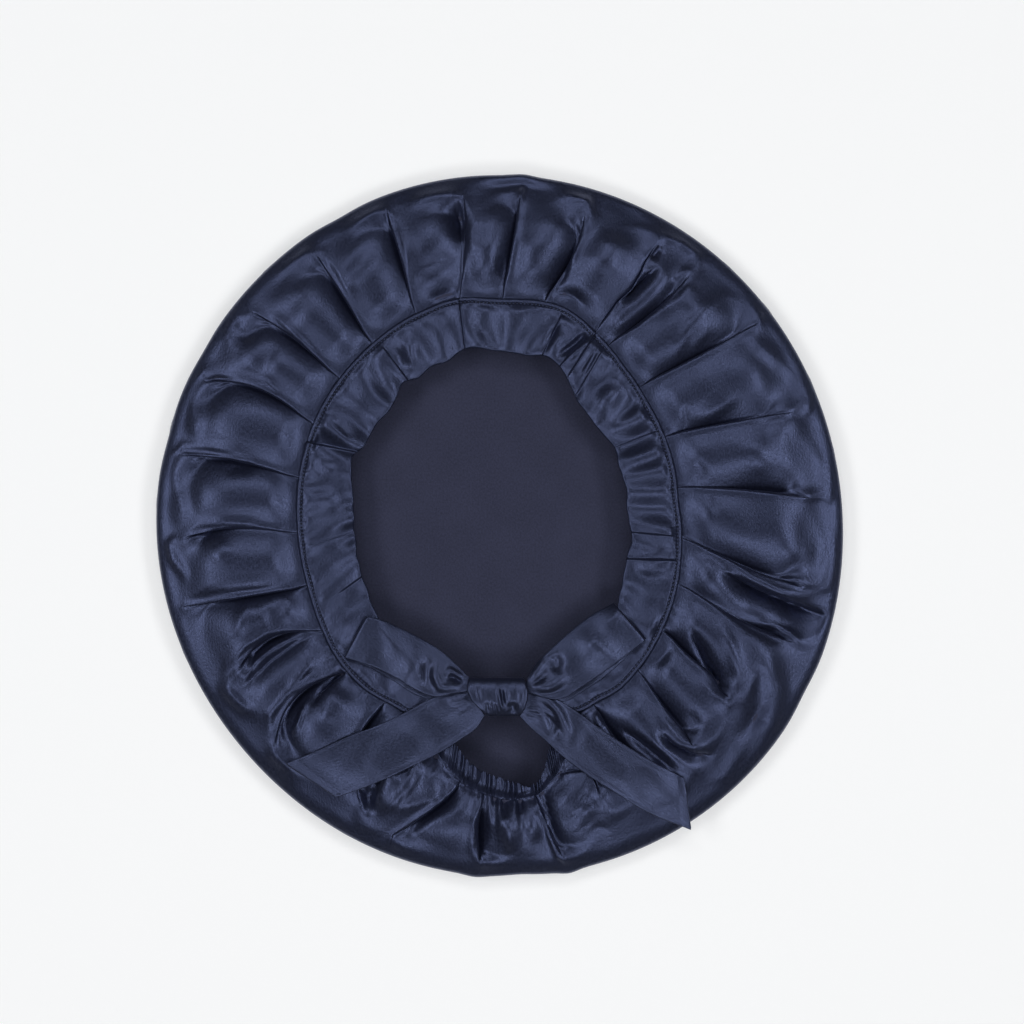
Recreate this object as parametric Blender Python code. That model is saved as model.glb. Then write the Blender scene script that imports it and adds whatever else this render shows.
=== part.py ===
"""Satin sleep bonnet, lying on its crown with the head opening up.

Metres, +Z up. The origin is on the floor under the middle of the crown, +Y is the forehead side
and the ties are at -Y. The crown is one round of satin whose edge is gathered in knife pleats into
a flat band. Round the keyhole at the nape the edge runs in an elastic casing. The band's ends
taper into a knot, which holds two loops and two tails of ribbon.
"""
import math

import bpy
import numpy as np
from mathutils import Vector
from mathutils.bvhtree import BVHTree

MM = 0.001
CLEARANCE = 0.3 * MM            # between pieces that touch

# ---- crown
CROWN_RADIUS = 167.9 * MM       # mean radius of the rim as it lies
CROWN_OVAL = 2.3 * MM           # how much longer it is along CROWN_OVAL_DEG
CROWN_OVAL_DEG = 108.9
CROWN_WALL = 1.2 * MM
PLEAT_CENTRE = Vector((-4.8 * MM, 10.2 * MM))   # the pleats radiate from here
PUFF_HEIGHT = 24.0 * MM         # highest part of the pleated top
GATHER_HEIGHT = 14.2 * MM       # where the pleats come out from under the band
LIP_WIDTH = 4.0 * MM            # the crown's edge that lies under the band
LIP_DIP = 0.1 * MM              # how much lower the edge of the lip lies
FULL_PUFF_WIDTH = 62.0 * MM     # a top narrower than this puffs up less
PLEAT_OPENS_BY = 0.2            # part of the top over which a pleat reaches its full depth
PLEAT_FADE_START = 18.0 * MM    # a pleat starts to fade this far before its tip
PLEAT_FADE_LENGTH = 30.0 * MM

# Section of the pleated top, from the band (across 0) to the rim (across 1);
# puff 0 is the height of the gathers and puff 1 is the highest part.
TOP_SECTION = (
    # across, puff
    (0.00, 0.00),
    (0.07, 0.42),
    (0.20, 0.82),
    (0.42, 1.00),
    (0.64, 0.95),
    (0.82, 0.58),
    (0.94, 0.00),
)
# Section of the rim and the flat bottom.
RIM_SECTION = (
    # part of the rim's radius, height in mm
    (1.000, 8.0),
    (0.990, 3.2),
    (0.962, 0.6),
    (0.925, 0.0),
    (0.600, 0.0),
    (0.250, 0.0),
)

# Each knife pleat: where it leaves the band, its bend, where it ends and how deep it is.
PLEATS = (
    # name, root_deg, middle_deg, tip_deg, tip_radius_mm, depth_mm
    ("a", 5.3, 3.2, 1.4, 153, 4.0),
    ("b", 21.4, 18.9, 17.2, 148, 4.0),
    ("c", 38.3, 35.4, 34.4, 156, 4.5),
    ("d", 52.7, 49.8, 48.4, 150, 3.5),
    ("e", 60.3, 58.3, 58.1, 150, 4.0),
    ("f", 75.2, 71.7, 72.1, 144, 4.0),
    ("g", 86.7, 85.0, 84.6, 156, 3.0),
    ("h", 98.5, 95.5, 96.4, 148, 3.5),
    ("i", 111.5, 109.9, 109.6, 152, 3.0),
    ("j", 126.4, 125.1, 124.9, 147, 3.0),
    ("k", 140.2, 139.6, 141.0, 152, 3.5),
    ("l", 155.6, 153.1, 156.5, 154, 4.0),
    ("m", 171.9, 169.9, 170.7, 153, 4.0),
    ("n", 188.2, 185.0, 186.1, 148, 4.0),
    ("o", 203.5, 200.3, 198.4, 159, 3.5),
    ("p", 216.7, 210.8, 213.0, 145, 4.0),
    ("q", 229.0, 224.2, 228.0, 157, 4.0),
    ("r", 241.6, 240.0, 244.0, 158, 3.0),
    ("s", 256.0, 254.0, 253.0, 167, 3.0),
    ("t", 267.5, 267.0, 268.0, 174, 2.5),
    ("u", 279.3, 280.4, 281.5, 174, 2.5),
    ("v", 288.0, 289.0, 291.0, 169, 3.0),
    ("w", 298.0, 297.8, 300.0, 150, 3.5),
    ("x", 311.6, 310.3, 310.2, 152, 4.0),
    ("y", 323.8, 321.5, 321.0, 147, 4.0),
    ("z", 337.0, 334.8, 335.5, 160, 4.5),
    ("aa", 350.2, 346.0, 345.3, 156, 4.5),
)
# The panel between two pleats comes out low from under one and rises to a crest over the next.
PANEL_SECTION = (
    # part of the panel, height as a part of the pleat's depth
    (0.00, -0.90),
    (0.42, 0.10),
    (0.86, 0.55),
)

# ---- head opening
# The gather line, where the pleats come out: the seam of the band, and round the keyhole the
# outer line of the casing. The band's inner edge is the head opening.
OPENING = (
    # angle_deg, gather_mm, band_inner_mm
    (0, 91.0, 65.7),
    (20, 90.8, 64.8),
    (40, 92.0, 63.7),
    (50, 94.2, 65.2),
    (60, 98.3, 71.8),
    (70, 102.0, 76.4),
    (82, 100.7, 74.4),
    (98, 101.6, 76.0),
    (112, 99.4, 72.4),
    (126, 97.1, 72.6),
    (140, 95.6, 67.5),
    (155, 94.7, 68.0),
    (163, 94.4, 70.6),
    (175, 94.2, 67.0),
    (190, 94.9, 67.2),
    (205, 97.6, 70.4),
    (220, 103.4, 75.0),
    (235, 108.3, 80.5),
    (247, 109.3, 83.5),
    (256, 117.5, 86.5),
    (263, 134.0, 89.6),
    (269, 140.4, 90.0),
    (275, 143.0, 90.0),
    (281, 140.5, 90.0),
    (287, 126.0, 87.0),
    (293, 111.0, 85.0),
    (305, 108.9, 82.0),
    (320, 104.0, 78.6),
    (335, 98.5, 71.6),
    (348, 94.4, 68.5),
)

# ---- band
BAND_THICKNESS = 2.0 * MM
BAND_HEIGHT = 14.9 * MM         # underside of the band along its seam
BAND_DIP = 1.2 * MM             # the inner edge lies this much lower
BAND_LEFT_END_DEG = 262.8       # at the knot
BAND_RIGHT_END_DEG = -78.6
BAND_TAPER_DEG = 13.0           # the ends narrow over this angle
BAND_END_OUTER = 98.6 * MM      # outer radius of the band where it meets the knot
BAND_END_RISE = 2.0 * MM        # the ends rise this much to the knot
BAND_OUTERMOST = 109.0 * MM     # the seam's largest distance from the pleats' centre
BAND_CROWNING = 1.15            # thickness in the middle of a strip, against its edges
BAND_STEP_DEG = 4.0
BAND_TUCKS = (
    # angle_deg, height_mm
    (59, 0.7),
    (99, 0.7),
    (160, 0.7),
    (341, 0.7),
)
TUCK_SPREAD_DEG = 2.5

# ---- nape casing
CASING_START_DEG = 257.0
CASING_END_DEG = 288.0
CASING_WIDTH = 8.5 * MM
CASING_THICKNESS = 2.2 * MM
CASING_HEIGHT = 12.6 * MM       # underside
CASING_BLEND_DEG = 8.0          # the crown's edge comes down to the casing over this angle
CASING_RUCHES = 11
RUCHE_STEPS = 4
RUCHE_HEIGHT = 0.8 * MM

# ---- bow
RIBBON_THICKNESS = 1.0 * MM
RIBBON_STEP = 4.0 * MM
KNOT_CENTRE = Vector((-1.5 * MM, -82.3 * MM, 20.6 * MM))
KNOT_SIZE = (28.0 * MM, 18.4 * MM, 11.5 * MM)
KNOT_NARROWING = 0.28           # how much slimmer its ends are
KNOT_GROOVE = 1.2 * MM          # depth of the pinch down its middle
KNOT_GROOVE_PLACE = 0.08
KNOT_GROOVE_SPREAD = 0.12
KNOT_SEAT = 1.5 * MM            # the ribbons leave it this far below its middle
LOOP_RISE = 3.4 * MM            # from the lower ply of a loop to its upper ply, at most
LOOP_PINCH = 0.55               # part of that rise at the knot and at the turn
LOOP_TURN = 0.6                 # how far the turn runs out, as a part of the rise

# Rows run from the knot outwards along the middle of the ribbon.
LOOP_LEFT = (
    # x_mm, y_mm, width_mm
    (-15.9, -77.2, 8.0),
    (-22.0, -74.4, 14.0),
    (-30.0, -71.0, 20.0),
    (-44.1, -64.6, 22.5),
    (-57.0, -58.6, 22.5),
    (-69.3, -53.4, 22.0),
)
LOOP_RIGHT = (
    # x_mm, y_mm, width_mm
    (12.9, -77.6, 8.0),
    (18.5, -74.2, 14.0),
    (25.6, -70.0, 20.0),
    (38.0, -62.0, 22.5),
    (50.0, -53.6, 23.0),
    (61.3, -46.0, 23.0),
)
TAIL_LEFT = (
    # x_mm, y_mm, width_mm
    (-16.0, -87.2, 9.0),
    (-20.0, -90.0, 16.0),
    (-28.0, -94.6, 21.0),
    (-48.9, -106.4, 22.0),
    (-70.7, -115.4, 22.5),
    (-91.5, -122.5, 23.0),
)
TAIL_RIGHT = (
    # x_mm, y_mm, width_mm
    (13.0, -86.6, 9.0),
    (19.0, -91.0, 15.0),
    (29.8, -98.2, 20.0),
    (53.8, -113.3, 20.5),
    (70.0, -123.8, 21.0),
    (89.0, -134.8, 21.5),
)
TAIL_DROOP = 5.0 * MM           # how far an edge of a tail may hang below the other
TAIL_LEFT_SLANT = 13.0 * MM     # how far one corner of the cut end runs past the other
TAIL_RIGHT_SLANT = -13.0 * MM

SATIN = dict(colour=(0.026, 0.030, 0.060, 1.0), roughness=0.38)
BAND_SATIN = dict(colour=(0.028, 0.033, 0.064, 1.0), roughness=0.42)
RIBBON = dict(colour=(0.024, 0.028, 0.054, 1.0), roughness=0.46)


def clear_scene():
    for item in list(bpy.data.objects):
        bpy.data.objects.remove(item)


def cycle(rows, column, degrees):
    """Smooth closed curve through one column of a table whose first column is the angle."""
    angles = np.array([row[0] for row in rows], float)
    values = np.array([row[column] for row in rows], float)
    angles = np.concatenate((angles - 360, angles, angles + 360))
    values = np.tile(values, 3)
    slopes = np.gradient(values, angles)
    degrees = np.asarray(degrees, float) % 360
    after = np.searchsorted(angles, degrees, side="right")
    before = after - 1
    span = angles[after] - angles[before]
    part = (degrees - angles[before]) / span
    rise = values[after] - values[before]
    return (
        values[before]
        + part * span * slopes[before]
        + part ** 2 * (3 * rise - span * (2 * slopes[before] + slopes[after]))
        + part ** 3 * (-2 * rise + span * (slopes[before] + slopes[after]))
    )


def polar_point(degrees, radius, height):
    angle = math.radians(degrees)
    return (
        PLEAT_CENTRE.x + radius * math.cos(angle),
        PLEAT_CENTRE.y + radius * math.sin(angle),
        height,
    )


def rim_radius(degrees):
    """Distance from the pleats' centre to the crown's outline."""
    radius = CROWN_RADIUS
    for _ in range(6):
        x, y, _z = polar_point(degrees, radius, 0)
        turn = 2 * (math.atan2(y, x) - math.radians(CROWN_OVAL_DEG))
        outline = CROWN_RADIUS + CROWN_OVAL * math.cos(turn)
        radius += outline - math.hypot(x, y)
    return radius


def make_material(name, colour, roughness):
    material = bpy.data.materials.new(name)
    material.use_nodes = True
    shader = material.node_tree.nodes["Principled BSDF"]
    shader.inputs["Base Color"].default_value = colour
    shader.inputs["Roughness"].default_value = roughness
    shader.inputs["Metallic"].default_value = 0.0
    return material


def add_object(name, points, faces, look):
    mesh = bpy.data.meshes.new(name)
    mesh.from_pydata([tuple(point) for point in points], [], faces)
    mesh.update()
    mesh.shade_smooth()
    mesh.materials.append(make_material(name + "_cloth", **look))
    item = bpy.data.objects.new(name, mesh)
    bpy.context.collection.objects.link(item)
    return item


def add_tube(name, sections, look):
    """Closed solid through sections that have the same number of points each."""
    count = len(sections[0])
    points = [point for section in sections for point in section]
    faces = []
    for row in range(len(sections) - 1):
        for step in range(count):
            a = row * count + step
            b = row * count + (step + 1) % count
            faces.append((a, b, b + count, a + count))
    last = (len(sections) - 1) * count
    faces.append(tuple(reversed(range(count))))
    faces.append(tuple(range(last, last + count)))
    return add_object(name, points, faces, look)


# ---------------------------------------------------------------- crown

def crown_columns():
    """One column for each row of PANEL_SECTION in each panel between two pleats."""
    columns = []
    for index, pleat in enumerate(PLEATS):
        following = PLEATS[(index + 1) % len(PLEATS)]
        turn = 360 if index == len(PLEATS) - 1 else 0
        for part, lift in PANEL_SECTION:
            nearest = pleat if part < 0.5 else following
            columns.append(dict(
                root=pleat[1] + part * (following[1] + turn - pleat[1]),
                middle=pleat[2] + part * (following[2] + turn - pleat[2]),
                tip=pleat[3] + part * (following[3] + turn - pleat[3]),
                reach=nearest[4] * MM,
                lift=lift * nearest[5] * MM,
            ))
    return columns


def column_angle(column, across):
    """A column bends from its root through its middle to its tip."""
    return float(np.interp(across, (0, 0.45, 0.9), (column["root"], column["middle"], column["tip"])))


def crown_rings(columns):
    """Outer surface of the crown from its lip under the band, over the rim, to its bottom."""
    rings = []
    lip = []
    for column in columns:
        gather = float(cycle(OPENING, 1, column["root"])) * MM
        low = GATHER_HEIGHT - casing_share(column["root"]) * (BAND_HEIGHT - CASING_HEIGHT)
        lip.append(polar_point(column["root"], gather - LIP_WIDTH, low - LIP_DIP))
    rings.append(lip)
    for across, puff in TOP_SECTION:
        ring = []
        for column in columns:
            degrees = column_angle(column, across)
            gather = float(cycle(OPENING, 1, degrees)) * MM
            rim = rim_radius(degrees)
            radius = gather + across * (rim - gather)
            low = GATHER_HEIGHT - casing_share(degrees) * (BAND_HEIGHT - CASING_HEIGHT)
            room = min(1.0, (rim - gather) / FULL_PUFF_WIDTH)
            high = low + (PUFF_HEIGHT - low) * room
            faded = (radius - column["reach"] + PLEAT_FADE_START) / PLEAT_FADE_LENGTH
            fade = 1.0 - max(0.0, min(1.0, faded))
            opened = min(1.0, across / PLEAT_OPENS_BY)
            height = low + puff * (high - low) + column["lift"] * fade * opened * room
            ring.append(polar_point(degrees, radius, height))
        rings.append(ring)
    for part, height in RIM_SECTION:
        rings.append([
            polar_point(column["tip"], part * rim_radius(column["tip"]), height * MM)
            for column in columns
        ])
    return rings


def casing_share(degrees):
    """1 along the casing round the keyhole, 0 along the band."""
    middle = (CASING_START_DEG + CASING_END_DEG) / 2
    half = (CASING_END_DEG - CASING_START_DEG) / 2
    away = abs((degrees - middle + 180) % 360 - 180)
    return max(0.0, min(1.0, (half + CASING_BLEND_DEG - away) / (CASING_BLEND_DEG - 2)))


def make_crown():
    rings = crown_rings(crown_columns())
    count = len(rings[0])
    points = [point for ring in rings for point in ring]
    faces = []
    for row in range(len(rings) - 1):
        for step in range(count):
            a = row * count + step
            b = row * count + (step + 1) % count
            faces.append((a, a + count, b + count, b))
    centre = len(points)
    points.append((PLEAT_CENTRE.x, PLEAT_CENTRE.y, 0.0))
    last = (len(rings) - 1) * count
    for step in range(count):
        faces.append((last + step, centre, last + (step + 1) % count))
    crown = add_object("crown", points, faces, SATIN)
    wall = crown.modifiers.new("wall", "SOLIDIFY")
    wall.thickness = CROWN_WALL
    wall.offset = -1
    return crown


# ---------------------------------------------------------------- band and casing

def strip_section(degrees, inner, outer, low_inner, low_outer, thickness):
    """Flat strip with a round inner edge."""
    half = thickness / 2
    return [
        polar_point(degrees, inner, low_inner + half),
        polar_point(degrees, inner + half, low_inner + thickness),
        polar_point(degrees, (inner + outer) / 2, (low_inner + low_outer) / 2 + thickness * BAND_CROWNING),
        polar_point(degrees, outer, low_outer + thickness),
        polar_point(degrees, outer, low_outer),
        polar_point(degrees, inner + half, low_inner),
    ]


def make_band():
    stations = int((BAND_LEFT_END_DEG - BAND_RIGHT_END_DEG) / BAND_STEP_DEG)
    sections = []
    for degrees in np.linspace(BAND_RIGHT_END_DEG, BAND_LEFT_END_DEG, stations + 1):
        from_end = min(degrees - BAND_RIGHT_END_DEG, BAND_LEFT_END_DEG - degrees)
        end = max(0.0, 1 - from_end / BAND_TAPER_DEG)
        inner = float(cycle(OPENING, 2, degrees)) * MM
        seam = min(float(cycle(OPENING, 1, degrees)) * MM, BAND_OUTERMOST)
        outer = seam + end ** 2 * (BAND_END_OUTER - seam) - CLEARANCE
        tuck = sum(
            height * MM * math.exp(-((degrees % 360 - angle) / TUCK_SPREAD_DEG) ** 2)
            for angle, height in BAND_TUCKS
        )
        rise = end * BAND_END_RISE
        sections.append(strip_section(
            degrees, inner, outer, BAND_HEIGHT - BAND_DIP + rise, BAND_HEIGHT + rise,
            BAND_THICKNESS + tuck,
        ))
    return add_tube("band", sections, BAND_SATIN)


def make_casing():
    sections = []
    steps = CASING_RUCHES * RUCHE_STEPS
    for step in range(steps + 1):
        degrees = CASING_START_DEG + (CASING_END_DEG - CASING_START_DEG) * step / steps
        outer = float(cycle(OPENING, 1, degrees)) * MM - 3 * CLEARANCE
        inner = max(outer - CASING_WIDTH, BAND_OUTERMOST + CLEARANCE)
        ruche = RUCHE_HEIGHT * 0.5 * (1 - math.cos(2 * math.pi * step / RUCHE_STEPS))
        sections.append(strip_section(
            degrees, inner, outer, CASING_HEIGHT, CASING_HEIGHT, CASING_THICKNESS + ruche,
        ))
    return add_tube("nape_casing", sections, BAND_SATIN)


# ---------------------------------------------------------------- bow

def spread(rows):
    """Smooth, evenly stepped middle line of a ribbon, with its width, through a table's rows."""
    table = np.array(rows, float) * MM
    along = np.concatenate(([0], np.cumsum(np.hypot(*np.diff(table[:, :2], axis=0).T))))
    steps = max(2, int(round(along[-1] / RIBBON_STEP)))
    places = np.linspace(0, along[-1], steps + 1)
    slopes = np.gradient(table, along, axis=0)
    after = np.clip(np.searchsorted(along, places, side="right"), 1, len(along) - 1)
    before = after - 1
    span = (along[after] - along[before])[:, None]
    part = (places - along[before])[:, None] / span
    rise = table[after] - table[before]
    line = (
        table[before]
        + part * span * slopes[before]
        + part ** 2 * (3 * rise - span * (2 * slopes[before] + slopes[after]))
        + part ** 3 * (-2 * rise + span * (slopes[before] + slopes[after]))
    )
    return line, places


def side_vectors(line):
    """Left-hand side and heading of each station; the first is square to the knot."""
    heading = np.gradient(line[:, :2], axis=0)
    heading[0] = (heading[0, 0], 0)
    heading /= np.linalg.norm(heading, axis=1)[:, None]
    return np.stack((-heading[:, 1], heading[:, 0]), axis=1), heading


def support_height(trees, x, y):
    """Height of the highest cloth under a point, or 0 where there is none."""
    heights = [0.0]
    for tree in trees:
        hit = tree.ray_cast(Vector((x, y, 0.2)), Vector((0, 0, -1)))
        if hit[0] is not None:
            heights.append(hit[0].z)
    return max(heights)


def lay_heights(line, sides, trees, knot_height, droop):
    """Heights of a ribbon's right edge, middle and left edge that clear what lies under it.

    No edge falls more than droop below the highest of the three, and less so near the knot.
    """
    heights = np.zeros((len(line), 3))
    for row, ((x, y, width), side) in enumerate(zip(line, sides)):
        for column, middle in enumerate((-0.5, 0.0, 0.5)):
            heights[row, column] = max(
                support_height(trees, x + side[0] * width * across, y + side[1] * width * across)
                for across in (middle - 0.16, middle - 0.06, middle, middle + 0.06, middle + 0.16)
            )
    heights[0] = np.maximum(heights[0], knot_height)
    last = len(line) - 1
    loose = droop * (np.arange(last + 1)[:, None] / last) ** 2
    heights = np.maximum(heights, heights.max(axis=1)[:, None] - loose)
    wide = np.array([heights[max(0, row - 1):row + 2].max(axis=0) for row in range(last + 1)])
    smooth = wide.copy()
    for row in range(1, last):
        smooth[row] = np.maximum(heights[row], (wide[row - 1] + 2 * wide[row] + wide[row + 1]) / 4)
    smooth[:, 1] = np.maximum(smooth[:, 1], (smooth[:, 0] + smooth[:, 2]) / 2)
    return smooth + 2 * CLEARANCE


def ribbon_section(x, y, side, width, lows, skew=(0.0, 0.0)):
    """Thin section with its own height at each edge and in the middle; skew slants it."""
    right = (x - side[0] * width / 2 - skew[0], y - side[1] * width / 2 - skew[1])
    left = (x + side[0] * width / 2 + skew[0], y + side[1] * width / 2 + skew[1])
    middle = (x, y)
    highs = [low + RIBBON_THICKNESS for low in lows]
    return [
        (*right, lows[0]), (*middle, lows[1]), (*left, lows[2]),
        (*left, highs[2]), (*middle, highs[1]), (*right, highs[0]),
    ]


def make_tail(name, rows, slant, trees, knot_height):
    line, places = spread(rows)
    sides, headings = side_vectors(line)
    lows = lay_heights(line, sides, trees, knot_height, TAIL_DROOP)
    sections = []
    for (x, y, width), side, heading, low, place in zip(line, sides, headings, lows, places):
        skew = heading * slant / 2 * (place / places[-1]) ** 2
        sections.append(ribbon_section(x, y, side, width, low, skew))
    return add_tube(name, sections, RIBBON)


def make_loop(name, rows, trees, knot_height):
    """A ribbon that runs out along its lower ply, turns over and comes back as its upper ply."""
    line, places = spread(rows)
    sides, headings = side_vectors(line)
    lows = lay_heights(line, sides, trees, knot_height, 0.0)
    upper = []
    lower = []
    for (x, y, width), side, low, place in zip(line, sides, lows, places):
        part = place / places[-1]
        rise = LOOP_RISE * (LOOP_PINCH + (1 - LOOP_PINCH) * math.sin(math.pi * part))
        upper.append(ribbon_section(x, y, side, width, low + rise))
        lower.append(ribbon_section(x, y, side, width, low))
    # The turn at the far end: the outer face of the ribbon runs further out than the inner face.
    turn = []
    for index, (under, over) in enumerate(zip(lower[-1], reversed(upper[-1]))):
        reach = LOOP_RISE * LOOP_TURN + (RIBBON_THICKNESS if index < 3 else 0.0)
        out = headings[-1] * reach
        turn.append((under[0] + out[0], under[1] + out[1], (under[2] + over[2]) / 2))
    back = [list(reversed(section)) for section in reversed(upper)]
    return add_tube(name, lower + [turn] + back, RIBBON)


def make_knot():
    """Wrapped knot: a puffed roll, pinched by a groove down its middle."""
    rings = 12
    count = 16
    squareness = 0.8
    half = [size / 2 for size in KNOT_SIZE]
    sections = []
    for ring in range(rings + 1):
        across = -1 + 2 * ring / rings
        swell = 1 - KNOT_NARROWING * abs(across) ** 3
        groove = KNOT_GROOVE * math.exp(-((across - KNOT_GROOVE_PLACE) / KNOT_GROOVE_SPREAD) ** 2)
        section = []
        for step in range(count):
            angle = 2 * math.pi * step / count
            y = math.copysign(abs(math.cos(angle)) ** squareness, math.cos(angle)) * half[1] * swell
            z = math.copysign(abs(math.sin(angle)) ** squareness, math.sin(angle)) * half[2] * swell
            length = math.hypot(y, z)
            scale = (length - groove) / length
            section.append((
                KNOT_CENTRE.x + across * half[0],
                KNOT_CENTRE.y + y * scale,
                KNOT_CENTRE.z + z * scale,
            ))
        sections.append(section)
    return add_tube("knot", sections, RIBBON)


def tree_of(item):
    evaluated = item.evaluated_get(bpy.context.evaluated_depsgraph_get())
    mesh = evaluated.to_mesh()
    tree = BVHTree.FromPolygons([v.co[:] for v in mesh.vertices], [p.vertices[:] for p in mesh.polygons])
    evaluated.to_mesh_clear()
    return tree


def main():
    clear_scene()
    crown = make_crown()
    band = make_band()
    casing = make_casing()
    make_knot()
    bpy.context.view_layer.update()
    under = [tree_of(crown), tree_of(band), tree_of(casing)]
    knot_low = KNOT_CENTRE.z - KNOT_SEAT
    loops = [
        make_loop("loop_left", LOOP_LEFT, under, knot_low),
        make_loop("loop_right", LOOP_RIGHT, under, knot_low),
    ]
    bpy.context.view_layer.update()
    under += [tree_of(loop) for loop in loops]
    make_tail("tail_left", TAIL_LEFT, TAIL_LEFT_SLANT, under, knot_low)
    make_tail("tail_right", TAIL_RIGHT, TAIL_RIGHT_SLANT, under, knot_low)
    for item in bpy.context.collection.objects:
        item.data.set_sharp_from_angle(angle=math.radians(50))


main()
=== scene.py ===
"""Looks of a navy satin sleep bonnet that lies on its crown with the head opening up.

Lengths in the tables are millimetres. Angles are degrees, anticlockwise from +X about the point from
which the pleats radiate. Meshes are made in metres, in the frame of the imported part.
"""

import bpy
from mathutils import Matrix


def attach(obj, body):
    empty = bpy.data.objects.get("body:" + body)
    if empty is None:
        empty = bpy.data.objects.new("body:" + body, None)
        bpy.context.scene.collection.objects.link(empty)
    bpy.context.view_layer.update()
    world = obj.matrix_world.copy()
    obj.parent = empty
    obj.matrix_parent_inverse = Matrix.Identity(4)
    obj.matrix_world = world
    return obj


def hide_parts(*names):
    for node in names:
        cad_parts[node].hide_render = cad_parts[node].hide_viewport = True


bl_info = {
    "name": "Satin sleep bonnet",
    "version": (1, 0, 0),
    "blender": (4, 5, 0),
    "location": "3D View > Sidebar > Bonnet",
    "description": "Makes a pleated satin sleep bonnet, piece by piece",
    "category": "Add Mesh",
}

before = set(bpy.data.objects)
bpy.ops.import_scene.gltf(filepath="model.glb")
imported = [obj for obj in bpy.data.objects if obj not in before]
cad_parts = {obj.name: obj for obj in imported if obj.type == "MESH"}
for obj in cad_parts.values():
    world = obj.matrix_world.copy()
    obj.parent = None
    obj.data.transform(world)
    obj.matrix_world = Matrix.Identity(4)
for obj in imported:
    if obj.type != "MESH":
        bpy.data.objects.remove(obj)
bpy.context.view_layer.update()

import math

import bmesh
import bpy
import numpy as np
from bpy.props import FloatProperty, FloatVectorProperty, IntProperty, PointerProperty
from mathutils import Vector
from mathutils.bvhtree import BVHTree

MM = 0.001


def linear(code):
    """Linear RGBA of an sRGB hex colour."""
    parts = [int(code[i:i + 2], 16) / 255 for i in (1, 3, 5)]
    return tuple(p / 12.92 if p <= 0.04045 else ((p + 0.055) / 1.055) ** 2.4 for p in parts) + (1.0,)


# ---- sizes read from the bonnet

PLEAT_CENTRE = np.array((-4.8, 10.2))

# The outline as it lies: mean radius about the origin, and the waves in it.
OUTLINE_RADIUS = 168.6
OUTLINE_WAVES = (
    # waves_round, cosine_mm, sine_mm
    (1, 0.20, 0),
    (2, -1.78, -1.38),
    (3, -0.58, -0.07),
    (4, 0.25, -0.09),
    (5, -0.29, 0),
)
OUTLINE_CORNERS = (
    # deg, out_mm, spread_deg
    (84.5, 0.9, 2.2),
    (118, -0.8, 4),
    (152, -0.5, 4),
    (168, -0.7, 4.5),
    (267.5, 1, 2),
    (274.5, -0.9, 3),
    (282, 1.3, 1.8),
    (329, -0.8, 4),
)

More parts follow.
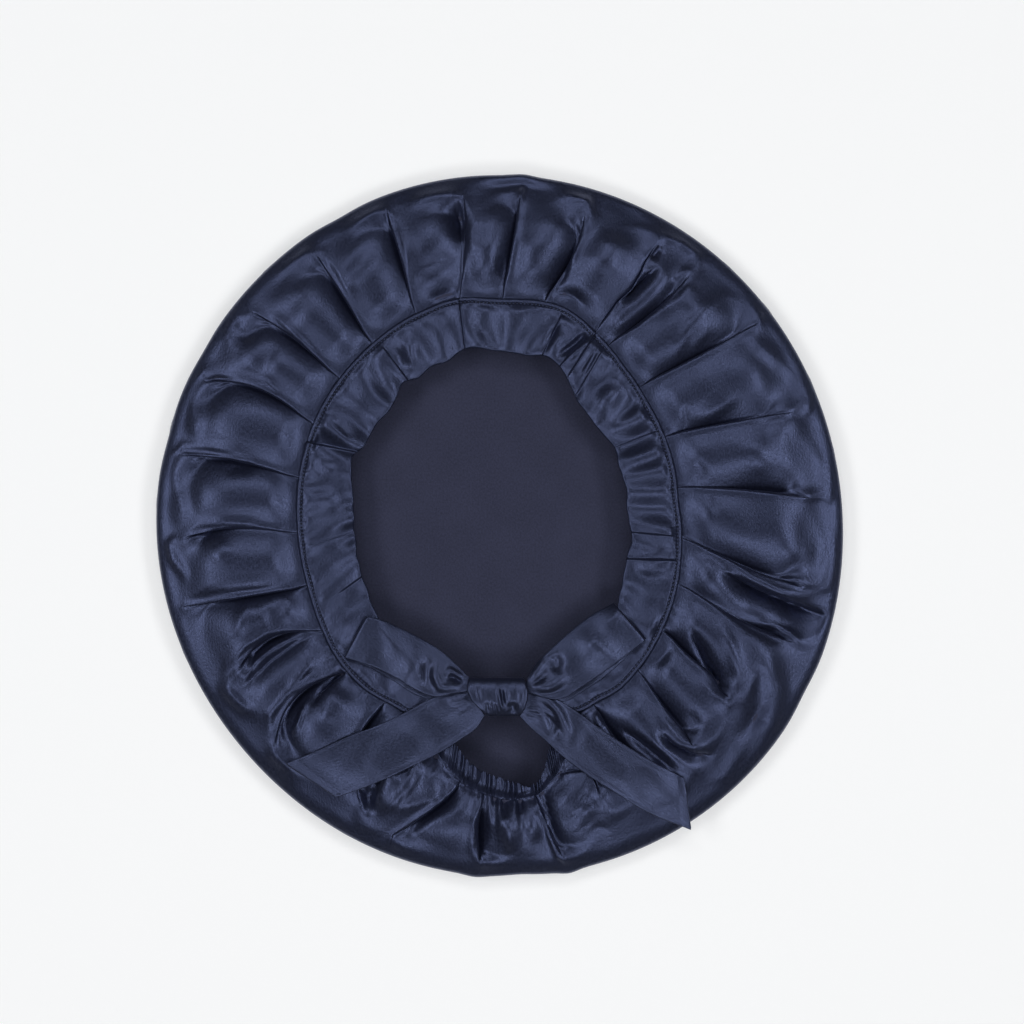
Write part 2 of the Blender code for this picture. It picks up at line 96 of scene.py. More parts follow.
PLEATS = (
    # name, root_deg, middle_deg, tip_deg, tip_mm, depth_mm, pocket_mm, pocket_at,
    #     arch_mm, round_mm, hollow_mm, reach_mm, droop
    ("a", 5.3, 3.2, 1.4, 152, 3.2, 2.8, 0.72, 165, 4, 1.8, 14, 0.012),
    ("b", 21.4, 18.9, 17.2, 151, 2.8, 1.4, 0.35, 163, 5, 1.5, 16, 0.010),
    ("c", 38.3, 35.4, 34.4, 156, 3.4, 1.8, 0.40, 163.5, 6, 1.3, 10, 0.030),
    ("d", 53.7, 49.8, 49.2, 146, 3, 1.2, 0.40, 160, 5, 1.2, 12, 0.014),
    ("e", 58.9, 57.8, 57.6, 149, 1.2, 0.8, 0.55, 155, 3, 0.2, 10, 0.020),
    ("f", 75.2, 71.7, 72.1, 146, 3.2, 3, 0.35, 156.5, 5, 2.2, 10, 0.020),
    ("g", 86.7, 85, 84.6, 151, 3.2, 2.2, 0.50, 154.5, 2.5, 1.2, 12, 0.030),
    ("h", 98.5, 95.4, 95.2, 149, 3.4, 4.4, 0.85, 154, 8, 2.4, 12, 0.010),
    ("i", 111.5, 109.9, 109.6, 151, 3.2, 2.4, 0.60, 154.5, 4, 1.6, 12, 0.020),
    ("j", 126.4, 125.1, 124.9, 147, 3.2, 3, 0.45, 153, 5, 1.8, 11, 0.016),
    ("k", 140.2, 139.6, 141, 148, 2.8, 1.8, 0.50, 155, 5, 1.8, 13, 0.014),
    ("l", 155.6, 153.1, 156.5, 150, 3, 2.2, 0.50, 156, 5, 1.8, 16, 0.012),
    ("m", 171.9, 169.9, 170.7, 150, 3.2, 2.4, 0.60, 157, 5, 1.8, 16, 0.012),
    ("n", 188.2, 185, 186.1, 148, 3, 2.2, 0.88, 160, 6, 0.9, 10, 0.020),
    ("o", 203.5, 200.3, 198.4, 156, 3.2, 2, 0.35, 162.5, 3.5, 1.6, 14, 0.004),
    ("p", 216.7, 210.8, 213, 145, 4, 4.4, 0.60, 160, 8, 3, 11, 0.012),
    ("q", 229, 224.2, 228, 156, 4, 4.4, 0.50, 163, 7, 3, 12, 0.012),
    ("r", 241.6, 240.5, 246.6, 158, 3.4, 3.4, 0.30, 170, 6, 2, 12, 0.012),
    ("s", 263.6, 259.4, 253.4, 170, 3.6, 3.8, 0.45, 175, 5, 1.8, 10, 0.012),
    ("t", 268.5, 267.3, 268.4, 173, 4.6, 5.2, 0.55, 177, 3, 1.4, 9, 0.020),
    ("u", 278.6, 279.8, 281.5, 174, 2.8, 2, 0.20, 179, 4, 1.6, 10, 0.030),
    ("v", 284, 287.2, 290.6, 150, 1.5, 1.2, 0.45, 162, 5, 1.2, 9, 0.012),
    ("w", 297.2, 297.6, 300, 150, 3.6, 4.2, 0.40, 168, 7, 2.4, 12, 0.012),
    ("x", 311.6, 310.3, 310.2, 151, 3.2, 2.4, 0.60, 158, 5, 2, 12, 0.012),
    ("y", 323.8, 321.8, 321, 147, 3.4, 3.2, 0.25, 155, 5, 1.8, 12, 0.012),
    ("z", 337.2, 335, 335.6, 160, 3.6, 2.2, 0.90, 172, 6, 1.4, 8, 0.012),
    ("aa", 350.2, 346, 345.3, 155, 3.6, 2.4, 0.60, 170.5, 8, 2.4, 16, 0.012),
)

OPENING = (
    # deg, gather_mm, band_inner_mm
    (0, 91, 65.6), (9, 90.7, 65.7), (16, 90.6, 64.6), (25, 90.6, 65.5),
    (34, 91, 63.1), (41, 92.2, 63.8), (46, 93.2, 64.3), (51, 95, 65.2),
    (55, 96.4, 68.3), (60, 98.4, 72.2), (65, 100.6, 75.1), (70, 102.1, 76.6),
    (76, 101.8, 74.7), (83, 100.5, 74.2), (90, 100, 74.6), (96, 101.2, 76.1),
    (100, 101.4, 76.4), (107, 100.2, 72.3), (113, 99.3, 72.4), (120, 98.2, 71),
    (126, 97.2, 72.6), (132, 96.4, 68.8), (140, 95.7, 67.3), (147, 95.2, 67.8),
    (155, 94.8, 67.2), (161, 94.4, 70.7), (166, 94.2, 70), (171, 94.2, 67.5),
    (180, 94.2, 66.4), (195, 95.6, 67.9), (206, 98, 70.5), (216, 101.8, 73),
    (225, 105.6, 77.4), (235, 108.3, 80.5), (247, 109, 83.5), (252, 111.5, 85),
    (257, 121.5, 87), (261, 130.5, 88.6), (265, 136.5, 90), (269, 140, 90),
    (274, 142.9, 90), (279, 142, 90), (283, 136.5, 89), (287, 126, 87),
    (291, 114, 85), (295, 109.8, 84), (305, 109, 81.5), (312, 107.1, 80),
    (321, 104, 78.5), (326, 102.2, 74.8), (331, 100.4, 72.5), (338, 97.9, 70.5),
    (345, 95.4, 70.1), (354, 92.8, 66.9),
)

# Ridges and hollows of the crown's top, besides the pleats. Seen along its line, each has a width on its
# left and one on its right; the lines that run outwards have anticlockwise on their left.
CROWN_CREASES = (
    # height_mm, left_mm, right_mm, ((deg, mm), ...)
    # right side
    (-13, 1.2, 12.5, ((344, 112), (342.8, 134), (342.2, 150), (341.6, 176))),
    (1.3, 1.4, 1.8, ((349, 106), (346.6, 118), (344.6, 131), (343.8, 145), (344, 158), (345.6, 167))),
    (1, 2.2, 1.8, ((344.4, 162), (346.4, 169), (349.5, 170), (353.5, 168), (357, 164))),
    (0.8, 1.2, 0.8, ((346, 138), (345.8, 148), (346.6, 157))),
    (1.3, 6, 7, ((350, 138), (351, 150), (351.5, 161))),
    (-0.7, 1, 1.6, ((357, 109), (360, 107), (362.3, 105))),
    (0.9, 1.6, 5.5, ((3.9, 114), (2.6, 126), (1.8, 138), (1, 150), (1.4, 160))),
    (1, 2.2, 2, ((359, 160), (1.4, 165), (5, 166), (9, 164))),
    (-1.1, 2.8, 2.8, ((5.8, 102), (9, 103), (13, 101))),
    (1.3, 7, 6, ((5.5, 130), (10, 132), (15, 131))),
    (1.2, 4, 6, ((14, 136), (15.2, 148), (14.5, 160))),
    (1, 2.2, 2, ((15.4, 152), (16.6, 161), (19, 164), (24, 163))),
    (1.4, 4, 2.6, ((20.8, 104), (22, 113), (23.6, 125), (24.5, 134))),
    (-0.7, 1.2, 1.6, ((21, 100), (24, 103), (28, 105))),
    (1.3, 4, 5, ((24, 157), (28, 154), (31, 151), (33, 158))),
    (1.4, 2, 2.4, ((37.6, 110), (40.4, 118), (41.8, 128), (42.6, 140), (42, 152), (39.5, 160))),
    (1, 2, 3.4, ((33.4, 146), (33.7, 156), (35.5, 160), (39, 159.5))),
    (0.9, 1.8, 2.2, ((37.7, 121), (39, 130), (39.8, 139))),
    (1.2, 3.5, 4.5, ((43.5, 134), (46, 137), (48, 145))),
    (1.2, 1.8, 2.6, ((50.6, 111), (48.7, 122), (47.7, 134), (47.8, 148), (49.2, 157))),
    (1.1, 2.2, 3.6, ((48.4, 152), (50.5, 158), (54, 158), (57, 154), (58.4, 148))),
    (-1.2, 1.4, 1, ((52.6, 104), (51.2, 112), (50.3, 122), (49.9, 128))),
    (0.7, 1.1, 1.1, ((50.9, 136), (50.4, 147), (49.2, 150))),
    (-5, 1.1, 3.6, ((57.5, 114), (57.1, 126), (56.4, 133), (54.6, 142))),
    (-2.4, 0.8, 1.6, ((57.2, 141), (57, 145), (56.8, 150))),
    (1, 4, 1, ((58.6, 104), (58.1, 116), (57.8, 130), (57.7, 144), (58, 156))),
    # forehead
    (-1.9, 2.6, 2.4, ((64, 106), (69, 109), (75, 106))),
    (1.1, 8, 8, ((64, 122), (65, 134), (66, 146))),
    (-2.2, 2, 1, ((73.8, 106), (72.4, 115), (71.8, 127))),
    (1.3, 2, 2.6, ((71.6, 128), (70.6, 138), (70.8, 148), (72.4, 155), (76, 155.5), (79, 152))),
    (1, 7, 7, ((79, 110), (80.5, 122), (81, 134))),
    (0.9, 1.2, 1.3, ((84.6, 146), (84.4, 152), (84.2, 157))),
    (-1.2, 2.4, 1.6, ((87.2, 108), (87, 115), (87.4, 122))),
    (1.2, 8, 7, ((90, 110), (91.5, 122), (92, 131))),
    (1.4, 2, 3, ((96.4, 112), (94.4, 124), (93.8, 136), (94.8, 147), (97.2, 154))),
    (1.2, 2.4, 4.5, ((95, 147), (97.6, 153), (102, 152.5), (107, 147.5))),
    (-3.8, 3.6, 0.8, ((96.4, 127), (95.8, 138), (96.6, 151))),
    (-1.9, 5, 6, ((96.5, 121), (102, 120.5), (109, 118))),
    (-1.1, 2.2, 2.6, ((98.4, 104), (103, 103.6), (108, 103))),
    (1.1, 1.5, 2.2, ((110.8, 110), (109, 122), (108.2, 134), (108.4, 146), (110, 155))),
    (1, 2.2, 4, ((108.8, 148), (111, 154), (114, 153), (119, 148))),
    (-1.3, 5, 4, ((112.5, 140), (117, 134), (121, 130), (124, 125))),
    (1.1, 1.5, 2.2, ((125, 110), (123.8, 122), (123.2, 134), (123.4, 146), (125, 153))),
    (1, 2.2, 4, ((123.8, 146), (126.4, 152), (130, 152.5), (135, 151))),
    (-1.2, 5, 5, ((131, 134), (135, 136), (139, 133))),
    # the rim sinks between the tips
    (-4.5, 13, 13, ((76, 166), (86, 162), (95, 166))),
    (-3.2, 9, 9, ((59, 168), (66, 166), (73, 167))),
    (-2.4, 7, 7, ((102, 164), (106, 163), (110, 164))),
    # left side
    (1, 1.2, 1.6, ((139.4, 108), (138.9, 122), (138.8, 136), (139.4, 146))),
    (1, 2, 2, ((139.6, 148), (141.4, 156), (144.5, 156), (147, 152), (147.4, 145), (145.5, 137))),
    (-1.6, 2.8, 2.8, ((142.8, 152), (145.2, 149), (145.2, 144), (143, 138))),
    (-1.2, 4, 5, ((143, 131), (147, 129), (151.5, 127))),
    (-1.3, 0.8, 3, ((152.4, 114), (151.4, 123), (152, 133), (153, 142))),
    (0.9, 0.8, 0.8, ((154.2, 138), (154.9, 144), (155.9, 150))),
    (1.1, 2.2, 2.2, ((153.4, 146), (155, 154), (158, 158), (162, 157))),
    (1.2, 4, 5, ((160, 149), (164, 147), (168, 150))),
    (0.9, 0.8, 0.8, ((169.9, 127), (170.3, 140), (170.9, 153))),
    (-1.2, 3, 2, ((170.8, 113), (171.3, 122), (172.4, 132))),
    (1, 1.4, 2, ((168.8, 112), (168.2, 126), (168.4, 140), (169.2, 152), (171.4, 158), (176, 158))),
    (1.2, 4, 5, ((177, 153), (181, 150), (184, 155))),
    (1.1, 1.4, 2, ((186.6, 104), (184.3, 116), (183.7, 129), (184, 142), (185.6, 154))),
    (1, 2, 2, ((184.6, 150), (187, 158), (189.6, 157), (192.5, 152), (195.5, 155))),
    (0.9, 0.8, 0.8, ((185, 134), (185.8, 141), (186.4, 148))),
    (1.2, 5, 6, ((187, 128), (190, 133), (192, 138))),
    (1.1, 1.4, 4, ((202, 101), (199.8, 113), (198.2, 126), (197, 140), (196.8, 153), (198.2, 161))),
    (1.2, 3, 3, ((201, 123), (204, 131), (208, 139))),
    (-1.4, 3, 4, ((205, 108), (206.5, 116), (207, 124))),
    (1.6, 1.8, 2.4, ((214.6, 109), (211, 116), (209.6, 124), (209.8, 136), (211, 148), (213.6, 157))),
    (1.2, 2.2, 4, ((212.4, 152), (215.5, 156), (219.5, 154), (223, 147))),
    (2, 2, 1, ((213.4, 113), (212.9, 124), (213.6, 137), (216, 150))),
    (-4.5, 10, 1.4, ((216.2, 103), (215.2, 116), (215.2, 131), (216.6, 150))),
    (1.4, 1.2, 3.5, ((221.4, 114), (222.2, 124), (222.4, 134))),
    (1.4, 1.6, 2.4, ((227, 113), (224, 123), (222.8, 134), (223.6, 147), (227, 158))),
    (1.2, 2.2, 4, ((225, 153), (229, 160), (234, 161), (238, 159))),
    (2.2, 1.2, 1, ((226, 127), (227.4, 134), (228.8, 142), (229.6, 150))),
    (-5, 1.3, 3, ((229.4, 103), (228.8, 112), (228.3, 121), (228.2, 131))),
    (1.2, 8, 3, ((230, 113), (231, 124), (233, 134))),
    # nape
    (1.2, 1.2, 1.6, ((243.2, 112), (244.4, 117), (243, 124))),
    (-6, 2.6, 2.6, ((248.4, 137), (247.3, 146), (247.3, 154), (248.6, 163))),
    (-4, 1.6, 1.3, ((249.6, 141), (252, 133), (255, 126))),
    (2, 1.6, 1.6, ((249.6, 161), (251.6, 152), (253.4, 142), (254.8, 133), (255.6, 125))),
    (-5.5, 1.7, 1.5, ((255, 142), (256.4, 132), (257.6, 124), (259.4, 117))),
    (1.2, 2, 2.6, ((251, 157), (256, 148), (260, 142), (263, 138))),
    (1.8, 3.2, 2, ((263.5, 144), (260, 153), (257.4, 163), (256, 170))),
    (1.6, 1.2, 2.4, ((268, 142), (266.8, 154), (266.9, 166), (267.8, 175))),
    (2.2, 4, 3, ((272.6, 142), (272.8, 153), (273.2, 170))),
    (2, 3.4, 3.4, ((277.8, 142), (277.6, 154), (277.8, 166))),
    (-3.4, 1.3, 1.1, ((272.7, 136), (272.4, 143), (272.1, 153))),
    (-3.4, 1.3, 1.1, ((275.8, 137), (275.5, 144), (275.2, 151))),
    (-2.4, 1.4, 0.9, ((280.2, 136), (280.3, 148), (280.6, 160), (281.4, 172))),
    (1.8, 1.4, 1.2, ((279, 142), (279.7, 150), (280, 162), (280.7, 173), (282.6, 179))),
    (-1.6, 2.4, 2.8, ((281.8, 146), (284, 155), (287, 163), (291, 168))),
    (-2.2, 2.2, 1.6, ((283.2, 139), (286.4, 145), (290.2, 151))),
    (1.3, 2.2, 2.2, ((282.6, 143), (286, 151), (290.6, 158))),
    (1.8, 1.2, 1.4, ((296.5, 111), (296.5, 121))),
    (-5, 2, 2.8, ((299.8, 122), (301.6, 133), (303.4, 145), (304.8, 160))),
    (1.2, 3.5, 3, ((303.6, 128), (305, 142), (306.6, 156), (308.6, 168))),
    (-4.2, 1, 4, ((306.4, 134), (307.6, 145), (309.2, 154), (312, 163))),
    (1, 4, 3, ((307, 170), (311, 173), (315, 170), (318, 162))),
    (1.4, 2, 2.6, ((309.6, 122), (308.8, 136), (309, 147), (311, 154), (314, 155))),
    (-1.4, 2.2, 2.2, ((311.8, 150), (313.2, 144), (313.8, 136))),
    (-1.3, 2.2, 2.2, ((314.6, 110.5), (319, 111), (322.6, 109))),
    (1.6, 4, 5, ((317, 172), (322, 172), (327, 165), (331, 153), (334, 140))),
    (1.2, 2, 2.4, ((320.6, 128), (319.4, 140), (319.6, 149), (321.6, 153))),
    (1.4, 3, 3, ((322, 152), (326, 144), (330, 133), (334, 121))),
    (-1.3, 4, 3.5, ((315, 163), (319, 165), (323.4, 162), (327, 154), (330, 141))),
    (-5.5, 1.3, 3.4, ((320.4, 149), (321.8, 138), (323.4, 128), (325.6, 120), (329.4, 111))),
    (1.6, 1.6, 1.3, ((335.6, 138), (336.8, 147), (336.8, 157), (335.8, 166))),
    (1.2, 1.4, 5, ((336, 110), (334.6, 124), (333.6, 138), (333.6, 152), (334.8, 163))),
)

# Folds pressed into the band: height, how far each flank reaches, and the line of the edge.
BAND_TUCKS = (
    # height_mm, clockwise_mm, anticlockwise_mm, ((deg, mm), (deg, mm))
    (0.8, 3.5, 2, ((54.3, 92), (52, 64))),
    (1.3, 3, 2.2, ((58.6, 98), (59.1, 74))),
    (-0.8, 1.4, 4, ((60.6, 92), (64.2, 73))),
    (1.1, 2, 3, ((69.7, 98), (71.2, 76))),
    (1.2, 6, 4.5, ((98.9, 101), (99.6, 76))),
    (0.8, 3, 4, ((124.4, 92), (123.6, 71))),
    (1.4, 5, 4, ((161.2, 95), (158.3, 68))),
    (0.5, 5, 5, ((210, 84), (209, 71))),
    (1, 5, 4, ((343.5, 94), (337.9, 69))),
    (0.5, 3, 3, ((350.4, 90), (348.9, 68))),
    (0.4, 4, 3, ((24, 88), (25, 66))),
    (0.4, 4, 3, ((193, 90), (191, 68))),
)
# Soft folds of the band, written like the crown's.
BAND_CREASES = (
    (-2.6, 1.7, 1.4, ((60.4, 98), (62.6, 88), (66.4, 77))),
    (1.8, 2, 2.2, ((58.4, 97), (60.2, 87), (63.2, 76))),
    (-1.9, 1.2, 1.6, ((69.4, 96), (70.6, 86), (71.8, 77))),
    (1, 2.2, 2.2, ((67.4, 92), (68.4, 84), (69.2, 78))),
    (-1.6, 1.6, 1.2, ((55.8, 93), (55.2, 84), (54.6, 74))),
    (-1, 3, 5, ((94.6, 94), (93.6, 86), (92.6, 79))),
    (-1.4, 2, 3, ((115.2, 92), (118, 84), (119.8, 75))),
    (1.2, 3, 3, ((121, 90), (123, 82), (124.4, 74))),
    (-1.2, 3, 2, ((151, 88), (153, 80), (154.6, 72))),
    (-1.3, 3, 4, ((166, 90), (167.4, 82), (168, 74))),
    (1, 5, 5, ((178, 88), (178, 80), (178, 72))),
    (-1.3, 3, 4, ((341, 92), (338, 84), (336, 74))),
    (1.2, 4, 4, ((346, 90), (343, 82), (340.6, 74))),
    (-1, 4, 4, ((33, 86), (35, 79), (36, 70))),
    (1.2, 4, 4, ((42, 86), (43, 79), (44, 70))),
)
# The band runs anticlockwise from its start to its end. Both ends taper in and rise to the knot.
BAND_START_DEG = -78.6
BAND_END_DEG = 262.8
BAND_TAPER_DEG = 13
BAND_END_OUTER = 98.6
BAND_OUTERMOST = 109

# Ribbons: where each edge runs, from the knot outwards.
LOOP_LEFT = (
    # upper_x, upper_y, lower_x, lower_y
    (-15.2, -73.4, -15.2, -79.2),
    (-22.3, -66.3, -22.5, -80.2),
    (-29.5, -60.1, -31, -81.8),
    (-39.2, -54.2, -40.5, -78.6),
    (-48.9, -49.4, -51.3, -72.4),
    (-56.2, -46.1, -62, -67.2),
    (-64, -44.2, -74.4, -63.4),
)
LOOP_RIGHT = (
    (12.3, -75.1, 12.3, -79.6),
    (16.5, -67.3, 20.5, -82),
    (23.7, -60.1, 28, -83),
    (33.4, -51.3, 40, -76.2),
    (43.1, -43.6, 54, -66.9),
    (53.6, -38, 68.6, -55.4),
)
TAIL_LEFT = (
    (-15.4, -79.6, -8, -91.2),
    (-26.3, -80.9, -12.2, -97.4),
    (-35, -84.2, -18.8, -102.2),
    (-45, -89.6, -29, -108.6),
    (-59.1, -96.2, -44, -115.8),
    (-75, -102.2, -58.5, -122.6),
    (-88.5, -108.4, -69.6, -127.2),
    (-103.4, -114.8, -79.6, -130.4),
)
TAIL_RIGHT = (
    (12.4, -79.8, 9, -91.2),
    (21.3, -80.9, 14, -96.6),
    (28.5, -84.6, 20.5, -102.2),
    (37.5, -90.5, 28.5, -109.6),
    (49.5, -98.9, 40, -118.6),
    (62, -107.1, 56, -128.5),
    (75, -114.7, 72, -138.2),
    (88.1, -121.8, 91.6, -146.4),
)
# y and z of the knot.
KNOT_CENTRE = (-82.3, 20.4)


# ---- settings


def in_mm(label, what, millimetres):
    return FloatProperty(name=label, description=what, default=millimetres * MM, unit="LENGTH")


def in_watts(label, what, watts):
    return FloatProperty(name=label, description=what, default=watts, unit="POWER")


def colour_setting(label, what, code):
    return FloatVectorProperty(
        name=label, description=what, default=linear(code), size=4, min=0.0, max=1.0, subtype="COLOR",
    )


class CrownSizes(bpy.types.PropertyGroup):
    puff_height: in_mm("Puff height", "Highest part of the pleated top above the table", 18.2)
    gather_height: in_mm("Gather height", "Height at which the pleats come out from the band's seam", 15.6)
    rim_height: in_mm("Rim height", "Height of the crown's widest line", 8.4)
    pleat_depth: FloatProperty(
        name="Pleat depth", description="Depth of all pleats, against the depths in their table",
        default=1.0, subtype="FACTOR",
    )
    shoulder: in_mm("Shoulder", "Width over which the top falls to the brow", 36.0)
    rim_roll: in_mm("Rim roll", "Width of the roll to the rim at the forehead; about half at the sides", 9.0)
    welt: in_mm("Welt", "Height of the soft ridge along a pleat's crest and round its tip", 1.0)
    bulge: in_mm("Panel bulge", "How far a panel stands up between its two pleats", 4.0)
    wrinkles: in_mm("Wrinkles", "Height of the small uneven waves of the cloth", 0.12)
    thickness: in_mm("Cloth thickness", "Thickness of the satin", 0.35)


class BandSizes(bpy.types.PropertyGroup):
    seam_height: in_mm("Seam height", "Height of the band's upper face along its seam", 16.8)
    dip: in_mm("Dip", "How much lower the band's free edge lies", 1.1)
    thickness: in_mm("Band thickness", "Thickness of the folded band", 1.7)
    stitch_inset: in_mm("Stitch inset", "Distance from the seam to the row of topstitching", 2.1)
    stitch_pitch: in_mm("Stitch pitch", "Length of one stitch with its gap", 1.8)
    thread: in_mm("Thread width", "Width of the sewing thread", 0.70)
    pucker: in_mm("Pucker", "Height of the puckers along the topstitching", 0.13)
    ruches: IntProperty(
        name="Ruches", description="Number of small gathers along the casing", default=31,
    )


class BowSizes(bpy.types.PropertyGroup):
    thickness: in_mm("Ribbon thickness", "Thickness of the sewn satin ribbon", 0.7)
    loop_rise: in_mm("Loop rise", "Gap between the two plies in the middle of a loop", 3.0)
    knot_depth: in_mm("Knot depth", "Height of the knot from underside to top", 11.0)
    hem: in_mm("Hem", "Width of the hem at the ends of the ties", 3.4)


class Colours(bpy.types.PropertyGroup):
    crown: colour_setting("Crown", "Dye of the crown's satin", "#131521")
    band: colour_setting("Band", "Dye of the band and casing", "#141622")
    ribbon: colour_setting("Ribbon", "Dye of the ties", "#151722")
    inside: colour_setting("Inside", "Dull back of the satin, seen in the head opening", "#303245")
    # The thread is darker than the satin's dye so the stitches show as dark dashes: partly the thread's own
    # navy, partly painted shade of the dimples the stitches sink into.
    thread: colour_setting("Thread", "Sewing thread", "#0D0F17")
    floor: colour_setting("Floor", "Opal acrylic table top that the bonnet lies on", "#F4F5F6")


class StageSizes(bpy.types.PropertyGroup):
    side_light: in_watts("Side lights", "Power of each soft light beside the bonnet", 10.3)
    top_light: in_watts("Far light", "Power of the soft light beyond the forehead", 6.5)
    near_light: in_watts("Near light", "Power of the soft light beyond the nape", 8.4)
    fill: FloatProperty(
        name="Fill", description="Strength of the even light from all round", default=0.02,
    )
    lens: FloatProperty(
        name="Lens", description="Focal length of the camera", default=85.0, unit="CAMERA",
    )


SETTINGS = {
    "bonnet_crown": CrownSizes,
    "bonnet_band": BandSizes,
    "bonnet_bow": BowSizes,
    "bonnet_colours": Colours,
    "bonnet_stage": StageSizes,
}


# ---- shapes


def smooth(x):
    """0 below 0, 1 above 1, and an easy rise between."""
    x = np.clip(x, 0.0, 1.0)
    return x * x * (3 - 2 * x)


def bell(x, power=2.0):
    """1 at 0, falling away on both sides; x is a distance over a width."""
    return np.exp(-np.abs(x) ** power)


def hermite(places, values, slopes, at):
    """Cubic curve through values at places, with those slopes."""
    after = np.clip(np.searchsorted(places, at, side="right"), 1, len(places) - 1)
    before = after - 1
    span = places[after] - places[before]
    part = (at - places[before]) / span
    if values.ndim > 1:
        span = span[:, None]
        part = part[:, None]
    rise = values[after] - values[before]
    return (
        values[before]
        + part * span * slopes[before]
        + part ** 2 * (3 * rise - span * (2 * slopes[before] + slopes[after]))
        + part ** 3 * (-2 * rise + span * (slopes[before] + slopes[after]))
    )


def cycle(rows, column, degrees):
    """Smooth closed curve through one column of a table whose first column is the angle."""
    table = np.array(rows, float)
    angles = np.concatenate((table[:, 0] - 360, table[:, 0], table[:, 0] + 360))
    values = np.tile(table[:, column], 3)
    return hermite(angles, values, np.gradient(values, angles), np.asarray(degrees, float) % 360)


def ripples(x, y, wavelength, count, seed, stretch=1.0):
    """Smooth seeded waves of about unit height; stretch makes them longer along y."""
    draw = np.random.default_rng(seed)
    total = np.zeros(np.shape(x))
    for _ in range(count):
        angle = draw.uniform(0, 2 * math.pi)
        k = 2 * math.pi / (wavelength * draw.uniform(0.7, 1.5))
        start = draw.uniform(0, 2 * math.pi)
        total += np.sin(k * (x * math.cos(angle) + y * math.sin(angle) / stretch) + start)
    return total * math.sqrt(2 / count)


def plan(degrees, radius):
    """x and y of points given about the pleats' centre."""
    angle = np.radians(degrees)
    return PLEAT_CENTRE[0] + radius * np.cos(angle), PLEAT_CENTRE[1] + radius * np.sin(angle)


def points_at(degrees, radius, height):
    x, y = plan(degrees, radius)
    return np.stack(np.broadcast_arrays(x, y, height), axis=-1)


def turn_from(degrees, start):
    """Signed angle from start to degrees, from -180 to 180."""
    return (np.asarray(degrees) - start + 180) % 360 - 180


def rim_radius(degrees):
    """Distance from the pleats' centre to the crown's outline, found by closing in on it."""
    radius = np.full(np.shape(degrees), OUTLINE_RADIUS)
    for _ in range(6):
        x, y = plan(degrees, radius)
        turn = np.arctan2(y, x)
        outline = OUTLINE_RADIUS
        for waves, cosine, sine in OUTLINE_WAVES:
            outline = outline + cosine * np.cos(waves * turn) + sine * np.sin(waves * turn)
        radius = radius + outline - np.hypot(x, y)
    for corner, out, spread in OUTLINE_CORNERS:
        radius = radius + out * bell(turn_from(degrees, corner) / spread)
    return radius


def beside_line(x, y, line):
    """Signed distance of points from a line of plan points, left side positive, and the place along it."""
    line = np.array(line, float)
    lengths = np.hypot(*np.diff(line, axis=0).T)
    starts = np.concatenate(([0], np.cumsum(lengths)))
    best = np.full(np.shape(x), np.inf)
    signed = np.zeros(np.shape(x))
    place = np.zeros(np.shape(x))
    for (x0, y0), (x1, y1), length, start in zip(line[:-1], line[1:], lengths, starts):
        ux, uy = (x1 - x0) / length, (y1 - y0) / length
        along = np.clip((x - x0) * ux + (y - y0) * uy, 0, length)
        away = np.hypot(x - x0 - along * ux, y - y0 - along * uy)
        side = np.where((y - y0) * ux - (x - x0) * uy >= 0, 1.0, -1.0)
        near = away < best
        best = np.where(near, away, best)
        signed = np.where(near, away * side, signed)
        place = np.where(near, (start + along) / starts[-1], place)
    return signed, place


def to_ends(place):
    """Fades a fold out towards both ends of its line."""
    return smooth(np.minimum(place, 1 - place) / 0.38)


def crease(x, y, line, left, right, power=2.0):
    """0 to 1: high along a line of plan points, fading to its ends and over a width on either side."""
    away, place = beside_line(x, y, line)
    return bell(away / np.where(away > 0, left, right), power) * to_ends(place)


def tuck(x, y, line, right, left):
    """A fold pressed flat: its edge stands up on the right of the line and falls off to the left."""
    away, place = beside_line(x, y, line)
    reach = np.where(away < 0, right, left)
    step = -np.tanh(away / 0.30) * np.exp(-np.abs(away) / reach)
    return step * smooth(place / 0.12 + 0.3) * smooth((1 - place) / 0.12 + 0.3)


def polar_line(line):
    return [plan(degrees, radius) for degrees, radius in line]


# ---- meshes


def grid_faces(rows, columns, closed=False, start=0):
    """Faces of a grid of points; closed joins its last column to its first."""
    last = columns if closed else columns - 1
    r, c = np.meshgrid(np.arange(rows - 1), np.arange(last), indexing="ij")
    a = start + r * columns + c
    b = start + r * columns + (c + 1) % columns
    return np.stack((a, b, b + columns, a + columns), axis=-1).reshape(-1, 4)


def add_mesh(name, points, faces, materials, slots=None, flat=None):
    """Adds a mesh object. points are millimetres, and flat is a millimetre position in the cut cloth."""
    points = np.asarray(points, float).reshape(-1, 3)
    mesh = bpy.data.meshes.new(name)
    mesh.from_pydata((points * MM).tolist(), [], [list(map(int, face)) for face in faces])
    for material in materials:
        mesh.materials.append(material)
    if slots is not None:
        mesh.polygons.foreach_set("material_index", np.asarray(slots, np.int32))
    layer = mesh.uv_layers.new(name="cut_cloth")
    where = points[:, :2] if flat is None else np.asarray(flat, float).reshape(-1, 2)
    corners = np.empty(len(mesh.loops), np.int32)
    mesh.loops.foreach_get("vertex_index", corners)
    layer.data.foreach_set("uv", (where[corners] * MM).astype(np.float32).ravel())
    mesh.update()
    mesh.shade_smooth()
    if mesh.validate():
        raise RuntimeError(f"{name}: the mesh has bad faces")
    item = bpy.data.objects.new(name, mesh)
    bpy.context.collection.objects.link(item)
    return item


